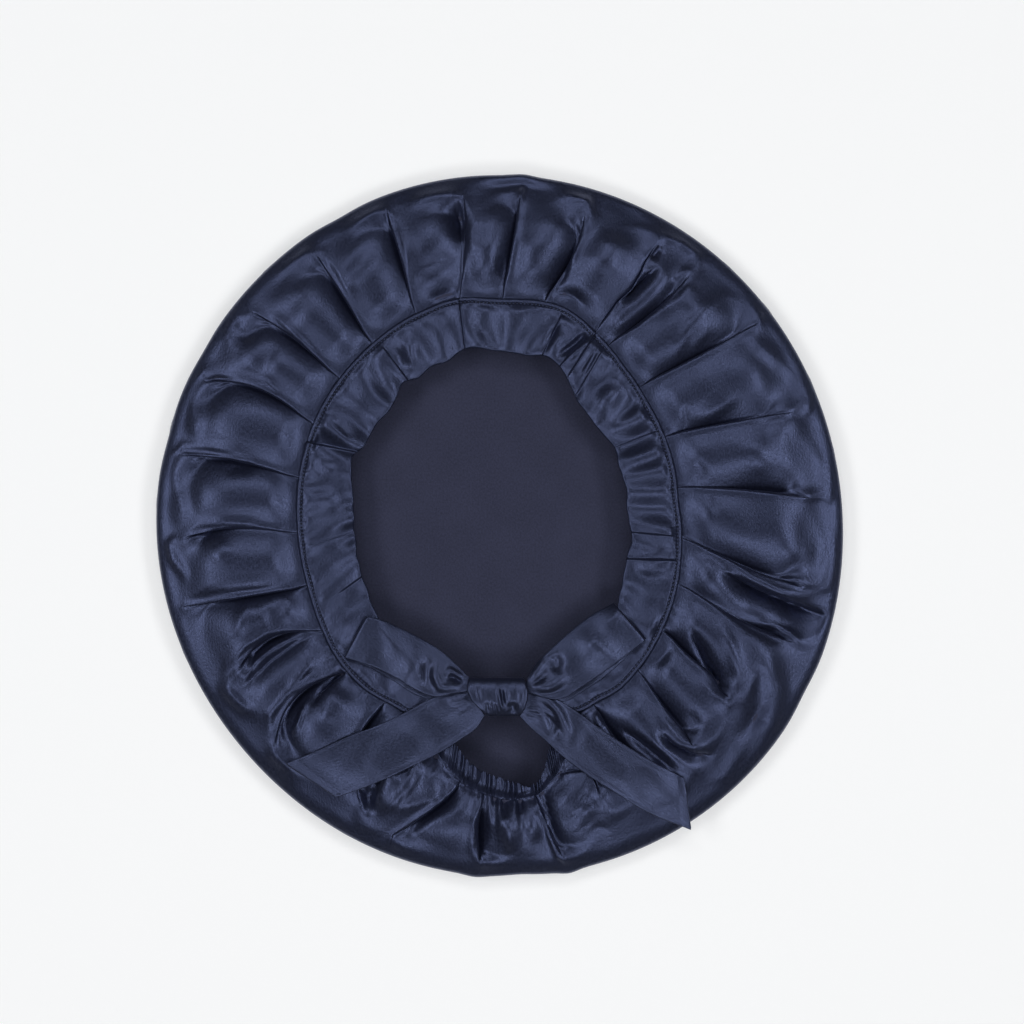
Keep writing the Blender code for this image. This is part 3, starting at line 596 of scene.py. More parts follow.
def sheet_shell(grid, thickness, flat):
    """Closed shell round a grid of points: upper face, rounded edges and lower face."""
    rows, columns = grid.shape[:2]
    count = rows * columns
    index = np.arange(count).reshape(rows, columns)
    edge = np.concatenate((index[0, :-1], index[:-1, -1], index[-1, :0:-1], index[:0:-1, 0]))
    normal = np.cross(np.gradient(grid, axis=1), np.gradient(grid, axis=0)).reshape(-1, 3)
    normal /= np.maximum(np.linalg.norm(normal, axis=1, keepdims=True), 1e-9)
    if normal[:, 2].mean() < 0:
        normal = -normal
    normal *= thickness / 2
    grid = grid.reshape(-1, 3)
    flat = flat.reshape(-1, 2)
    ring = grid[edge]
    out = np.cross(np.roll(ring, -1, axis=0) - np.roll(ring, 1, axis=0), normal[edge])
    out *= thickness / 2 / np.maximum(np.linalg.norm(out, axis=1, keepdims=True), 1e-9)
    if np.mean(np.sum(out * (ring - grid.mean(axis=0)), axis=1)) < 0:
        out = -out
    points = [grid + normal, grid - normal]
    flats = [flat, flat]
    rings = [edge]
    for step, angle in enumerate((math.pi / 4, 0.0, -math.pi / 4)):
        points.append(ring + out * math.cos(angle) + normal[edge] * math.sin(angle))
        flats.append(flat[edge])
        rings.append(2 * count + step * len(edge) + np.arange(len(edge)))
    rings.append(count + edge)
    faces = [grid_faces(rows, columns), grid_faces(rows, columns, start=count)[:, ::-1]]
    for first, second in zip(rings[:-1], rings[1:]):
        faces.append(np.stack((first, second, np.roll(second, -1), np.roll(first, -1)), axis=1))
    return np.concatenate(points), np.concatenate(faces), np.concatenate(flats)


def face_out(item):
    """Turns the faces of a closed mesh outwards."""
    work = bmesh.new()
    work.from_mesh(item.data)
    bmesh.ops.recalc_face_normals(work, faces=work.faces)
    work.to_mesh(item.data)
    work.free()
    return item


def tube_shell(sections, flat):
    """Closed skin over a row of closed sections, with flat caps at both ends."""
    rows, columns = sections.shape[:2]
    points = sections.reshape(-1, 3)
    faces = list(grid_faces(rows, columns, closed=True))
    faces += [range(columns), range((rows - 1) * columns, rows * columns)]
    return points, faces, flat.reshape(-1, 2)


# ---- materials


def add_node(tree, kind, settings=None, links=None):
    """Adds a node. settings are attributes or input values, and links are input name or number: socket."""
    node = tree.nodes.new(kind)
    for name, value in (settings or {}).items():
        if isinstance(name, int) or name in node.inputs:
            node.inputs[name].default_value = value
        else:
            setattr(node, name, value)
    for name, socket in (links or {}).items():
        tree.links.new(socket, node.inputs[name])
    return node


def new_material(name, constants):
    """A material whose shader has those constants, and its node tree and shader."""
    material = bpy.data.materials.new(name)
    material.use_nodes = True
    shader = material.node_tree.nodes["Principled BSDF"]
    for socket, value in constants.items():
        shader.inputs[socket].default_value = value
    return material, material.node_tree, shader


def cloth_material(name, dye, roughness, float_width, float_length, relief, constants):
    """Woven cloth: floats of yarn as a streaky bump, and slightly uneven dye and gloss."""
    material, tree, shader = new_material(name, {"Base Color": dye, **constants})
    cut = add_node(tree, "ShaderNodeUVMap", {"uv_map": "cut_cloth"}).outputs["UV"]
    yarn = add_node(tree, "ShaderNodeMapping", {"Scale": (1 / float_width, 1 / float_length, 1.0)},
                    {"Vector": cut})
    floats = add_node(tree, "ShaderNodeTexNoise", {"Scale": 1.0, "Detail": 2.0, "Roughness": 0.6},
                      {"Vector": yarn.outputs["Vector"]})
    cloud = add_node(tree, "ShaderNodeTexNoise", {"Scale": 1 / (22 * MM), "Detail": 3.0},
                     {"Vector": cut})
    both = add_node(tree, "ShaderNodeMath", {"operation": "MULTIPLY_ADD", 1: 3.0},
                    {0: floats.outputs["Fac"], 2: cloud.outputs["Fac"]})
    shade = add_node(tree, "ShaderNodeMapRange", {
        "From Min": 1.0, "From Max": 3.0, "To Min": 0.65, "To Max": 1.35,
    }, {"Value": both.outputs["Value"]})
    dyed = add_node(tree, "ShaderNodeMix", {
        "data_type": "RGBA", "blend_type": "MULTIPLY", "Factor": 1.0, 6: dye,
    }, {7: shade.outputs["Result"]})
    gloss = add_node(tree, "ShaderNodeMapRange", {
        "From Min": 0.3, "From Max": 0.7, "To Min": roughness - 0.07, "To Max": roughness + 0.07,
    }, {"Value": floats.outputs["Fac"]})
    bump = add_node(tree, "ShaderNodeBump", {"Strength": 1.0, "Distance": relief},
                    {"Height": floats.outputs["Fac"]})
    tree.links.new(dyed.outputs[2], shader.inputs["Base Color"])
    tree.links.new(gloss.outputs["Result"], shader.inputs["Roughness"])
    tree.links.new(bump.outputs["Normal"], shader.inputs["Normal"])
    return material


def satin_face(name, dye, roughness):
    """Polyester charmeuse, woven in a warp-faced satin and calendered.

    The long floats give a broad, soft, slightly blue sheen and almost no diffuse light. Real floats are
    about 0.1 mm wide and 0.8 mm long, too fine to show, so they are drawn coarser, about 0.9 by 1.5 mm.
    """
    return cloth_material(name, dye, roughness, 0.9 * MM, 1.5 * MM, 0.13 * MM, {
        "Specular IOR Level": 1.0,
        "Specular Tint": linear("#AEBFFF"),
        "Sheen Weight": 0.05,
        "Sheen Roughness": 0.4,
        "Sheen Tint": linear("#A9B4E6"),
    })


def satin_back(name, dye):
    """The back of the same satin, weft-faced and uncalendered: dull, even, with a faint grain."""
    return cloth_material(name, dye, 0.85, 0.9 * MM, 1.1 * MM, 0.06 * MM, {
        "Specular IOR Level": 0.35,
        "Specular Tint": linear("#C8CFEE"),
        "Sheen Weight": 0.05,
        "Sheen Roughness": 0.5,
        "Sheen Tint": linear("#A9B4E6"),
    })


def spun_thread(name, dye):
    """Spun polyester sewing thread, twisted and slightly hairy: duller than the satin beside it."""
    return cloth_material(name, dye, 0.6, 0.2 * MM, 0.5 * MM, 0.02 * MM, {
        "Specular IOR Level": 0.5,
        "Specular Tint": linear("#C0C8F4"),
    })


def opal_acrylic(name, tint):
    """Matt opal acrylic, cast, lit from below as on a product table: plain, pale, with weak shadows."""
    return new_material(name, {
        "Base Color": [0.66 * part for part in tint[:3]] + [1.0],
        "Roughness": 0.9,
        "Specular IOR Level": 0.1,
        "Emission Color": tint,
        "Emission Strength": 0.442,
    })[0]


MATERIALS = {
    # colour setting: material name, maker, roughness
    "crown": ("woven_satin_crown", satin_face, 0.39),
    "band": ("woven_satin_band", satin_face, 0.41),
    "ribbon": ("woven_satin_ribbon", satin_face, 0.40),
    "inside": ("woven_satin_back", satin_back),
    "thread": ("spun_polyester_thread", spun_thread),
    "floor": ("opal_acrylic", opal_acrylic),
}


def material_of(part):
    """The material of a part in its set colour, made the first time it is asked for."""
    name, make, *roughness = MATERIALS[part]
    tint = getattr(bpy.context.scene.bonnet_colours, part)
    return bpy.data.materials.get(name) or make(name, tint, *roughness)


# ---- crown

# Panels with steep folds, named by the pleat at their start. Their columns of points lie closer together.
DEEP_PANELS = ("d", "p", "q", "t", "w", "y", "z")
# Distances of the closest columns from their pleat.
NEAR_COLUMNS = np.array((0.0, 0.3, 0.65, 1.05, 1.55, 2.2, 3.1, 4.3))
# Arc lengths round the top are measured on this radius.
TOP_MIDDLE = 128
# A top this wide, from seam to rim, reaches the full puff height.
FULL_WIDTH = 62.0
# Height of the last small rounding of the top at the rim.
LIP = 1.5
# How far the crown turns in from its rim to the table.
TURN_IN = 6.5


def pleat_angles(across):
    """Angle of every pleat for places across the top, 0 at the gathers and 1 at the rim."""
    angles = []
    for _name, root, middle, tip, tip_mm, *_rest in PLEATS:
        gather = float(cycle(OPENING, 1, root))
        end = (tip_mm - gather) / (float(rim_radius(tip)) - gather)
        s = np.minimum(across / end, 1.0)
        angles.append(root * (1 - s) * (1 - 2 * s) + middle * 4 * s * (1 - s) + tip * s * (2 * s - 1))
    return np.stack(angles, axis=-1)


def panel_columns():
    """The panel of each column and its place across that panel, close together beside the pleats."""
    panels, places = [], []
    for k, (name, _root, middle, *_rest) in enumerate(PLEATS):
        following = PLEATS[(k + 1) % len(PLEATS)][2]
        width = math.radians((following - middle) % 360) * TOP_MIDDLE
        near = NEAR_COLUMNS[NEAR_COLUMNS < 0.36 * width] / width
        step = 1.0 if name in DEEP_PANELS else 2.3
        count = max(2, int(round((1 - 2 * near[-1]) * width / step)))
        between = np.linspace(near[-1], 1 - near[-1], count + 1)[1:-1]
        place = np.concatenate((near, between, 1 - near[:0:-1]))
        panels += [k] * len(place)
        places += list(place)
    return np.array(panels), np.array(places)


def overhang_of(x, y, line, left, right):
    """How far, anticlockwise, the steep side of a pocket leans over the pocket's bottom."""
    away, place = beside_line(x, y, polar_line(line))
    steep = min(left, right)
    outwards = 1.0 if line[-1][1] > line[0][1] else -1.0
    side = 1.0 if left < right else -1.0
    beyond = np.maximum(away * side, 0.0)
    over = 2.4 * smooth(beyond / steep) * bell(beyond / (3 * steep))
    return -side * outwards * over * to_ends(place)


def plain_top(degrees, top_width, from_gather, from_rim, sizes):
    """The top's height without pleats: up from the seam, level, down a little and over a roll to the rim."""
    low = sizes.gather_height / MM
    room = np.clip(top_width / FULL_WIDTH, 0.0, 1.0)
    high = low + (sizes.puff_height / MM - low) * room
    roll = sizes.rim_roll / MM * (0.55 + 0.45 * np.sin(np.radians(degrees)) ** 2)
    drop = 0.38 * roll
    brow = sizes.rim_height / MM + LIP + drop
    height = low + (high - low) * smooth(from_gather / 32.0)
    height -= (high - brow) * smooth(1 - from_rim / (sizes.shoulder / MM * (0.5 + 0.5 * room)))
    height -= drop * np.clip(1 - from_rim / roll, 0.0, 1.0) ** 2
    to_lip = np.clip(from_rim / LIP, 0.0, 1.0)
    height -= LIP * (1 - np.sqrt(1 - (1 - to_lip) ** 2))
    return height


def crown_top(across, sizes):
    """Angle, radius and height of the pleated top, for rows at those places across it."""
    panel, place = panel_columns()
    after = (panel + 1) % len(PLEATS)
    angles = pleat_angles(across)
    start = angles[:, panel]
    stop = angles[:, after]
    stop = np.where(stop < start - 180, stop + 360, stop)
    degrees = start + (stop - start) * place
    gather = cycle(OPENING, 1, degrees)
    rim = rim_radius(degrees)
    radius = gather + across[:, None] * (rim - gather)
    from_gather = radius - gather
    from_rim = rim - radius
    width = np.radians(stop - start) * radius
    past = place * width
    to_go = (1 - place) * width

    columns = np.array([row[4:] for row in PLEATS], float).T
    tip, depth, pocket, pocket_at, arch, corner, hollow, reach, droop = columns
    depth = depth * sizes.pleat_depth

    def along(fold):
        return from_gather / np.maximum(tip[fold] - gather, 1.0)

    def up_to_tip(fold):
        return smooth((1.05 - along(fold)) / 0.25)

    def pleat_depth(fold):
        return depth[fold] * smooth(along(fold) / 0.22 + 0.35) * up_to_tip(fold)

    def within(fold, beyond):
        """Distance inside the pleat's ring: its crest, bent over its tip into a rounded arch."""
        under = arch[fold] - droop[fold] * np.maximum(beyond, 0.0) ** 2 - radius + corner[fold]
        beside = beyond + corner[fold]
        return under + beside - np.hypot(under, beside) - corner[fold]

    nape = bell(turn_from(degrees, 270) / 16.0)
    height = plain_top(degrees, rim - gather, from_gather, from_rim, sizes)
    height -= 1.6 * nape * bell(from_gather / 2.6)

    # Each panel stands up between its pleats; beyond the tips the cloth runs on without a valley.
    valley = np.sin(np.pi * place)
    beyond_tip = 1 - up_to_tip(panel)
    level = beyond_tip + (1 - up_to_tip(after) - beyond_tip) * smooth(place)
    bulge = (valley + level * (0.65 - valley)) * smooth(from_gather / 14.0) * smooth(from_rim / 26.0)
    height += sizes.bulge / MM * bulge

    # Beside each pleat the cloth lies lower, inside a soft ring that rounds the pleat's tip.
    ring = within(panel, past)
    under_arch = np.maximum(arch[panel] - radius, 0.0)
    blend = np.maximum(smooth(1 - under_arch / (1.6 * corner[panel])), beyond_tip)
    edge = 1 - bell(np.maximum(ring, 0.0) / (0.5 + 4.5 * blend), 1.8)
    spread = bell(past / reach[panel], 1.6) * smooth(to_go / 7.0)
    deep = 1.4 * hollow[panel] * (0.25 + 0.75 * smooth(along(panel) / 0.7))
    height -= deep * edge * spread * smooth((from_rim - 2.0) / 8.0)
    welt = sizes.welt / MM * smooth(from_gather / 8.0) * smooth((from_rim - 3.0) / 7.0)
    fade = bell(past / (1.3 * reach[panel])) * smooth(to_go / 7.0)
    height += welt * blend * fade * bell(ring / 2.0)
    height += welt * bell(within(after, -to_go) / 2.0)

    # Each panel comes out of a crevice under the pleat before it, and its own crest hangs over the next.
    before_depth = pleat_depth(panel)
    after_depth = pleat_depth(after)
    pocket_near = bell((along(panel) - pocket_at[panel]) / 0.28)
    open_by = 0.4 + 0.62 * (pocket[panel] - 0.4) * pocket_near
    flank = 0.15 + 0.45 * pocket_near
    height -= before_depth * bell(past / open_by, 1.6) * (0.5 + 0.5 * smooth(past / 0.5))
    height -= before_depth * flank * bell(past / (1.2 + 1.9 * open_by), 1.3)
    height -= 0.4 * after_depth * bell(to_go / 0.5)
    shift = 0.375 * (after_depth * bell(to_go / 1.4) - before_depth * bell(past / 1.4))
    degrees = degrees + np.degrees(shift / radius)

    # Folds and hollows that are no pleats. A deep one with a steep side leans over its bottom.
    x, y = plan(degrees, radius)
    edges = smooth(from_gather / (3.0 - 2.4 * nape)) * smooth((from_rim - 1.0) / 7.0)
    lean = np.zeros(np.shape(x))
    for amount, left, right, line in CROWN_CREASES:
        power = 1.3 if amount < -1.5 else 2.0
        height += amount * edges * crease(x, y, polar_line(line), left, right, power)
        if amount < -4.0 and min(left, right) < 1.4:
            lean += overhang_of(x, y, line, left, right)

    # Small uneven waves, and fine gathers where the cloth is eased into the seam.
    wrinkles = sizes.wrinkles / MM * smooth(from_gather / 9.0) * smooth(from_rim / 9.0)
    around = np.radians(degrees) * TOP_MIDDLE
    height += wrinkles * ripples(x, y, 30.0, 9, 3)
    height += 0.6 * wrinkles * ripples(around, radius, 15.0, 10, 5, 3.0)
    gathers = ripples(around, radius, 3.6, 10, 7, 8.0) * np.exp(-from_gather / (3.0 + 9.0 * nape))
    height += (0.12 + 0.75 * nape) * gathers * smooth(from_gather + 0.3)
    return degrees + np.degrees(lean / radius), radius, height


def make_crown(sizes):
    """The crown's two faces, each made of rings from under the band, over the rim, to the bottom."""
    across = np.concatenate((
        np.linspace(0.0, 0.10, 9)[:-1],
        np.linspace(0.10, 0.84, 66)[:-1],
        1 - np.linspace(0.40, 0.0, 20) ** 2,
    ))
    degrees, radius, height = crown_top(across, sizes)
    rim = radius[-1]
    waves = 0.7 * ripples(*plan(degrees[-1], rim), 24.0, 8, 13)

    def rings(inset, top_rows):
        """Rings of one face of the cloth, inset from the outer face."""
        made = []
        # The gathers run on a little way under the band.
        for back, drop in ((4.0, 1.4), (2.2, 0.9), (0.8, 0.5)):
            made.append((degrees[0], radius[0] - back, height[0] - drop - inset))
        for row in top_rows:
            # The inner face keeps clear of the outer one's steep sides.
            reach = 3 if inset else 0
            lowest = np.minimum.reduce([np.roll(height[row], step) for step in range(-reach, reach + 1)])
            made.append((degrees[row], np.minimum(radius[row], rim - inset), lowest - inset))
        for angle in np.linspace(0.14, 1.0, 7) * math.pi / 2:
            level = sizes.rim_height / MM * (1 - math.sin(angle))
            turned = rim - inset - TURN_IN * (1 - math.cos(angle)) + math.sin(2 * angle) * waves
            made.append((degrees[-1], turned, level + inset))
        for part in (0.86, 0.7, 0.5, 0.3, 0.12):
            made.append((degrees[-1], (rim - TURN_IN) * part, np.full(len(rim), inset)))
        return np.stack([points_at(*ring) for ring in made])

    outer = rings(0.0, range(len(across)))
    inner = rings(sizes.thickness / MM, range(0, len(across) - 1, 6))
    # Gentle waves of the bottom cloth, seen through the head opening.
    bottom = inner[-5:]
    fade = np.array((0.0, 0.5, 1.0, 1.0, 1.0))[:, None]
    waved = ripples(bottom[..., 0], bottom[..., 1], 60.0, 6, 11)
    bottom[..., 2] += fade * 0.25 * np.maximum(0.0, 1.5 + waved)
    centres = ((*PLEAT_CENTRE, 0.0), (*PLEAT_CENTRE, inner[-1, :, 2].mean()))
    points = np.concatenate((outer.reshape(-1, 3), inner.reshape(-1, 3), centres))

    rows, columns = outer.shape[:2]
    outer_last = (rows - 1) * columns
    inner_first = rows * columns
    inner_last = len(points) - 2 - columns
    here = np.arange(columns)
    there = np.roll(here, -1)
    faces = list(np.concatenate((
        grid_faces(rows, columns, closed=True),
        grid_faces(len(inner), columns, closed=True, start=inner_first)[:, ::-1],
        np.stack((here, inner_first + here, inner_first + there, there), axis=1),
    )))
    # The satin's face is outside, down to the middle of the bottom, and its back is inside.
    slots = np.ones(len(faces) + 2 * columns, int)
    slots[:outer_last] = 0
    slots[len(faces):len(faces) + columns] = 0
    faces += [[outer_last + a, outer_last + b, len(points) - 2] for a, b in zip(here, there)]
    faces += [[inner_last + b, inner_last + a, len(points) - 1] for a, b in zip(here, there)]
    materials = (material_of("crown"), material_of("inside"))
    return face_out(add_mesh("crown_cloth", points, faces, materials, slots))


# ---- band

# Arc lengths along the band's free edge and along its seam are measured on these radii.
FREE_EDGE_MIDDLE = 85
SEAM_MIDDLE = 98
BAND_STEP_DEG = 0.22


def band_edges(degrees):
    """Radius of the band's seam and of its free edge, and how far its ends are lifted."""
    from_end = np.minimum(degrees - BAND_START_DEG, BAND_END_DEG - degrees)
    end = np.clip(1 - from_end / BAND_TAPER_DEG, 0.0, 1.0)
    seam = np.minimum(cycle(OPENING, 1, degrees), BAND_OUTERMOST)
    outer = seam + end ** 2 * (BAND_END_OUTER - seam) - 0.3
    arc = np.radians(degrees) * FREE_EDGE_MIDDLE
    inner = cycle(OPENING, 2, degrees) + 0.25 * ripples(arc, 0 * arc, 16.0, 6, 21)
    return outer, inner, 2.0 * end


def band_height(degrees, inset, sizes):
    """Height of the band's upper face at a distance inside its seam."""
    outer, inner, lift = band_edges(degrees)
    wide = outer - inner
    x, y = plan(degrees, outer - inset)
    arc = np.radians(degrees) * SEAM_MIDDLE
    stitch = sizes.stitch_inset / MM
    height = sizes.seam_height / MM - sizes.dip / MM * inset / wide + lift
    # The stitches lie in a furrow and pull the cloth into puckers that run in from them.
    height -= 0.70 * bell((inset - stitch) / 0.45)
    height += 0.20 * np.cos(2 * np.pi * arc / (sizes.stitch_pitch / MM)) * bell((inset - stitch) / 0.9)
    slanted = arc + 0.25 * inset
    below = np.exp(-np.maximum(inset - stitch, 0) / 4.0) * smooth(inset / stitch)
    height += sizes.pucker / MM * below * (
        0.8 * ripples(slanted, inset, 6.5, 12, 31, 6.0) + 0.3 * ripples(slanted, inset, 3.0, 10, 33, 4.0)
    )
    away = smooth((inset - stitch) / 4.0) * smooth((wide - inset) / 3.0 + 0.4)
    height += away * ripples(arc, inset, 26.0, 10, 35, 1.2)
    height += 0.07 * away * ripples(arc, inset, 10.0, 12, 37, 1.6)
    for amount, right, left, line in BAND_TUCKS:
        height += amount * tuck(x, y, polar_line(line), right, left)
    for amount, left, right, line in BAND_CREASES:
        height += amount * away * crease(x, y, polar_line(line), left, right)
    # The folded edge is a little higher than the cloth behind it.
    return height + 0.25 * bell((wide - inset - 1.2) / 1.4)


def ring_piece(name, degrees, rings):
    """A long piece whose cross-section is a closed row of points, each a radius and a height per degree."""
    sections = np.stack([points_at(degrees, radius, height) for radius, height in rings], axis=1)
    points, faces, flat = tube_shell(sections, sections[..., :2])
    return face_out(add_mesh(name, points, faces, (material_of("band"),), flat=flat))


def make_band(sizes):
    count = int((BAND_END_DEG - BAND_START_DEG) / BAND_STEP_DEG)
    degrees = np.linspace(BAND_START_DEG, BAND_END_DEG, count)
    outer, inner, _lift = band_edges(degrees)
    thickness = sizes.thickness / MM
    half = thickness / 2
    wide = outer - inner - half
    close = np.array((0.0, 0.25, 0.6, 1.0, 1.4, 1.75, 2.1, 2.45, 2.8, 3.3, 4.0, 4.9, 6.0, 7.3))
    insets = [np.full(len(degrees), inset) for inset in close]
    insets += [close[-1] + (wide - close[-1]) * part for part in np.linspace(0, 1, 14)[1:]]
    rings = []
    for inset in insets:
        roll = 0.5 * max(0.0, 1 - inset[0] / 0.8) ** 2
        rings.append((outer - inset, band_height(degrees, inset, sizes) - roll))
    edge_top = rings[-1][1]
    for angle in np.radians((60, 35, 10, -15, -40, -65)):
        rings.append((inner + half - half * math.cos(angle), edge_top - half + half * math.sin(angle)))
    for part in np.linspace(0.0, 1.0, 9):
        inset = wide * (1 - part)
        rings.append((outer - inset, band_height(degrees, inset, sizes) - thickness))
    return ring_piece("band_cloth", degrees, rings)


def make_stitches(sizes):
    """The row of topstitching: short capsules of thread whose ends go down into the cloth."""
    inset = sizes.stitch_inset / MM
    draw = np.random.default_rng(41)
    sides = 6
    profile = np.array((-1.0, -0.8, -0.35, 0.35, 0.8, 1.0))
    swell = sizes.thread / MM / 2 * np.array((0.35, 0.85, 1.0, 1.0, 0.85, 0.35))
    dips = np.array((-0.42, -0.12, 0.06, 0.06, -0.12, -0.42))
    around = 2 * math.pi * np.arange(sides) / sides
    sideways = swell[:, None] * np.cos(around)
    upwards = dips[:, None] + swell[:, None] * np.sin(around)
    points, faces = [], []
    degrees = BAND_START_DEG + 6.0
    while degrees < BAND_END_DEG - 6.0:
        outer, _inner, _lift = band_edges(np.array([degrees]))
        radius = float(outer[0]) - inset
        turn = math.degrees(sizes.stitch_pitch / MM / radius)
        middle = degrees + turn / 2
        length = 0.33 * turn * draw.uniform(0.9, 1.05)
        skew = draw.normal(0.0, 0.06)
        level = float(band_height(np.array([middle]), np.array([inset]), sizes)[0]) + 0.12
        x, y = plan(middle + length * profile, radius + skew * profile)
        out = math.radians(middle)
        first = len(points) * len(profile) * sides
        points.append(np.stack((
            x[:, None] + sideways * math.cos(out), y[:, None] + sideways * math.sin(out), level + upwards,
        ), axis=-1))
        faces += list(grid_faces(len(profile), sides, closed=True, start=first))
        for row in (0, len(profile) - 1):
            faces.append(range(first + row * sides, first + (row + 1) * sides))
        degrees += turn
    return face_out(add_mesh("band_topstitch", np.array(points), faces, (material_of("thread"),)))


# ---- nape casing

CASING = (
    # deg, outer_mm, inner_mm
    (253, 113.5, 109.6),
    (255, 117.6, 110),
    (257, 121.6, 111.2),
    (259, 126.3, 113.2),
    (261.3, 131, 116.8),
    (265.3, 137, 125.4),
    (268, 139.6, 129),
    (272, 142.2, 132.6),
    (275, 143.2, 135.2),
    (277.8, 142.8, 137.2),
    (279.5, 141.4, 136.2),
    (281, 139.4, 132.4),
    (283.1, 136.3, 122.8),
    (285.5, 131, 116),
    (288, 123.4, 111.4),
    (291, 114, 109.6),
)
CASING_FLOOR = 13


def make_casing(sizes):
    """Elastic channel, gathered into ruches with round tops and sharp furrows."""
    table = np.array(CASING, float)
    degrees = np.linspace(CASING[0][0] + 0.5, CASING[-1][0] - 0.5, 520)
    edges = hermite(table[:, 0], table, np.gradient(table, table[:, 0], axis=0), degrees)
    outer = edges[:, 1] + 0.3
    inner = edges[:, 2]
    x, y = plan(degrees, (outer + inner) / 2)
    arc = np.concatenate(([0], np.cumsum(np.hypot(np.diff(x), np.diff(y)))))
    phase = np.pi * sizes.ruches * arc / arc[-1] + 1.5 * ripples(arc, 0 * arc, 14.0, 6, 51)
    strength = np.clip(0.75 + 0.45 * ripples(arc, 0 * arc, 9.0, 6, 53), 0.15, 1.6)
    rings = []
    for part in np.linspace(0.0, 1.0, 17):
        lean = 0.5 * math.sin(5.0 * part + 0.6)
        ruche = np.abs(np.sin(phase + lean)) ** 0.65
        fine = 0.12 * ripples(arc, np.full(len(arc), part * 9.0), 1.7, 12, 55, 5.0)
        puff = 0.6 + 2.4 * smooth(part / 0.55)
        height = CASING_FLOOR + puff + (1.8 * ruche * strength + fine) * smooth(part / 0.5 + 0.2)
        frill = 0.9 * part ** 3 * (ruche - 0.5) * 2
        rings.append((outer + (inner - outer) * part - frill, height))
    edge_radius, edge_height = rings[-1]
    for drop, back in ((0.35, -0.15), (0.8, 0.0), (1.2, 0.35)):
        rings.append((edge_radius + back, edge_height - drop))
    for part in (0.0, 0.5, 1.0):
        radius = inner + 0.8 + (outer - inner - 0.8) * part
        rings.append((radius, np.full(len(degrees), CASING_FLOOR - 0.2)))
    return ring_piece("casing_cloth", degrees, rings)


# ---- bow

RIBBON_WIDTH = 22.5
RIBBON_COLUMNS = 25
# Rows of a ribbon, next to the knot, that are held down by it.
HELD_ROWS = 6
# Heights at which the loops and the tails come out of the knot.
LOOP_START = 18.4
TAIL_START = 19.0


def trees_of(*names):
    """Search trees over pieces that are made already."""
    trees = []
    for name in names:
        item = bpy.data.objects.get(name)
        if item is None:
            raise RuntimeError(f"{name} has to be made first")
        corners = [vertex.co[:] for vertex in item.data.vertices]
        trees.append(BVHTree.FromPolygons(corners, [face.vertices[:] for face in item.data.polygons]))
    return trees


def bed_height(trees, x, y):
    """Height in millimetres of the highest cloth under each point."""
    heights = np.zeros(np.size(x))
    down = Vector((0, 0, -1))
    for index, (px, py) in enumerate(zip(np.ravel(x), np.ravel(y))):
        for tree in trees:
            hit = tree.ray_cast(Vector((px * MM, py * MM, 0.2)), down)[0]
            if hit is not None:
                heights[index] = max(heights[index], hit.z / MM)
    return heights.reshape(np.shape(x))


def bridged(bed, along, across):
    """The bed as a stiff ribbon feels it: its highest places, widened by a few samples and smoothed."""
    rows, columns = bed.shape
    shifts = [(i, j) for i in range(2 * along + 1) for j in range(2 * across + 1)]
    for gather in (np.maximum.reduce, lambda copies: np.mean(copies, axis=0)):
        padded = np.pad(bed, ((along, along), (across, across)), mode="edge")
        bed = gather([padded[i:i + rows, j:j + columns] for i, j in shifts])
    return bed


def settle(bed, ends, sag, rounds=400):
    """Lays a stiffish strip on its bed: it clears the bed, bends gently and sags where nothing holds it."""
    height = np.maximum(bed, bed.max(axis=1, keepdims=True) - 1.0)
    for _ in range(rounds):
        padded = np.pad(height, 1, mode="reflect", reflect_type="odd")
        average = (
            padded[:-2, 1:-1] + padded[2:, 1:-1] + padded[1:-1, :-2] + padded[1:-1, 2:]
        ) / 4
        height = np.maximum(bed, average - sag)
        height[0] = ends
    return height


def ribbon_plan(rows):
    """Plan grid of a ribbon from the lines of its two edges, about a millimetre from row to row."""
    table = np.array(rows, float)
    middle = (table[:, :2] + table[:, 2:]) / 2
    along = np.concatenate(([0], np.cumsum(np.hypot(*np.diff(middle, axis=0).T))))
    places = np.linspace(0, along[-1], int(along[-1]) + 1)
    edges = hermite(along, table, np.gradient(table, along, axis=0), places)
    # The columns lie a little closer together beside the ribbon's edges.
    across = (1 - np.cos(np.linspace(0, np.pi, RIBBON_COLUMNS))) / 2
    across = 0.35 * across + 0.65 * np.linspace(0, 1, RIBBON_COLUMNS)
    upper, lower = edges[:, None, :2], edges[:, None, 2:]
    grid = upper + (lower - upper) * across[None, :, None]
    return grid[..., 0], grid[..., 1], places, across


def ribbon_piece(name, grid, thickness, along, across):
    """A ribbon round a grid, whose rows are cut at those places along it."""
    wide, far = np.broadcast_arrays(across[None, :] * RIBBON_WIDTH, along[:, None])
    points, faces, flat = sheet_shell(grid, thickness, np.stack((wide, far), axis=-1))
    return face_out(add_mesh(name + "_ribbon", points, faces, (material_of("ribbon"),), flat=flat))


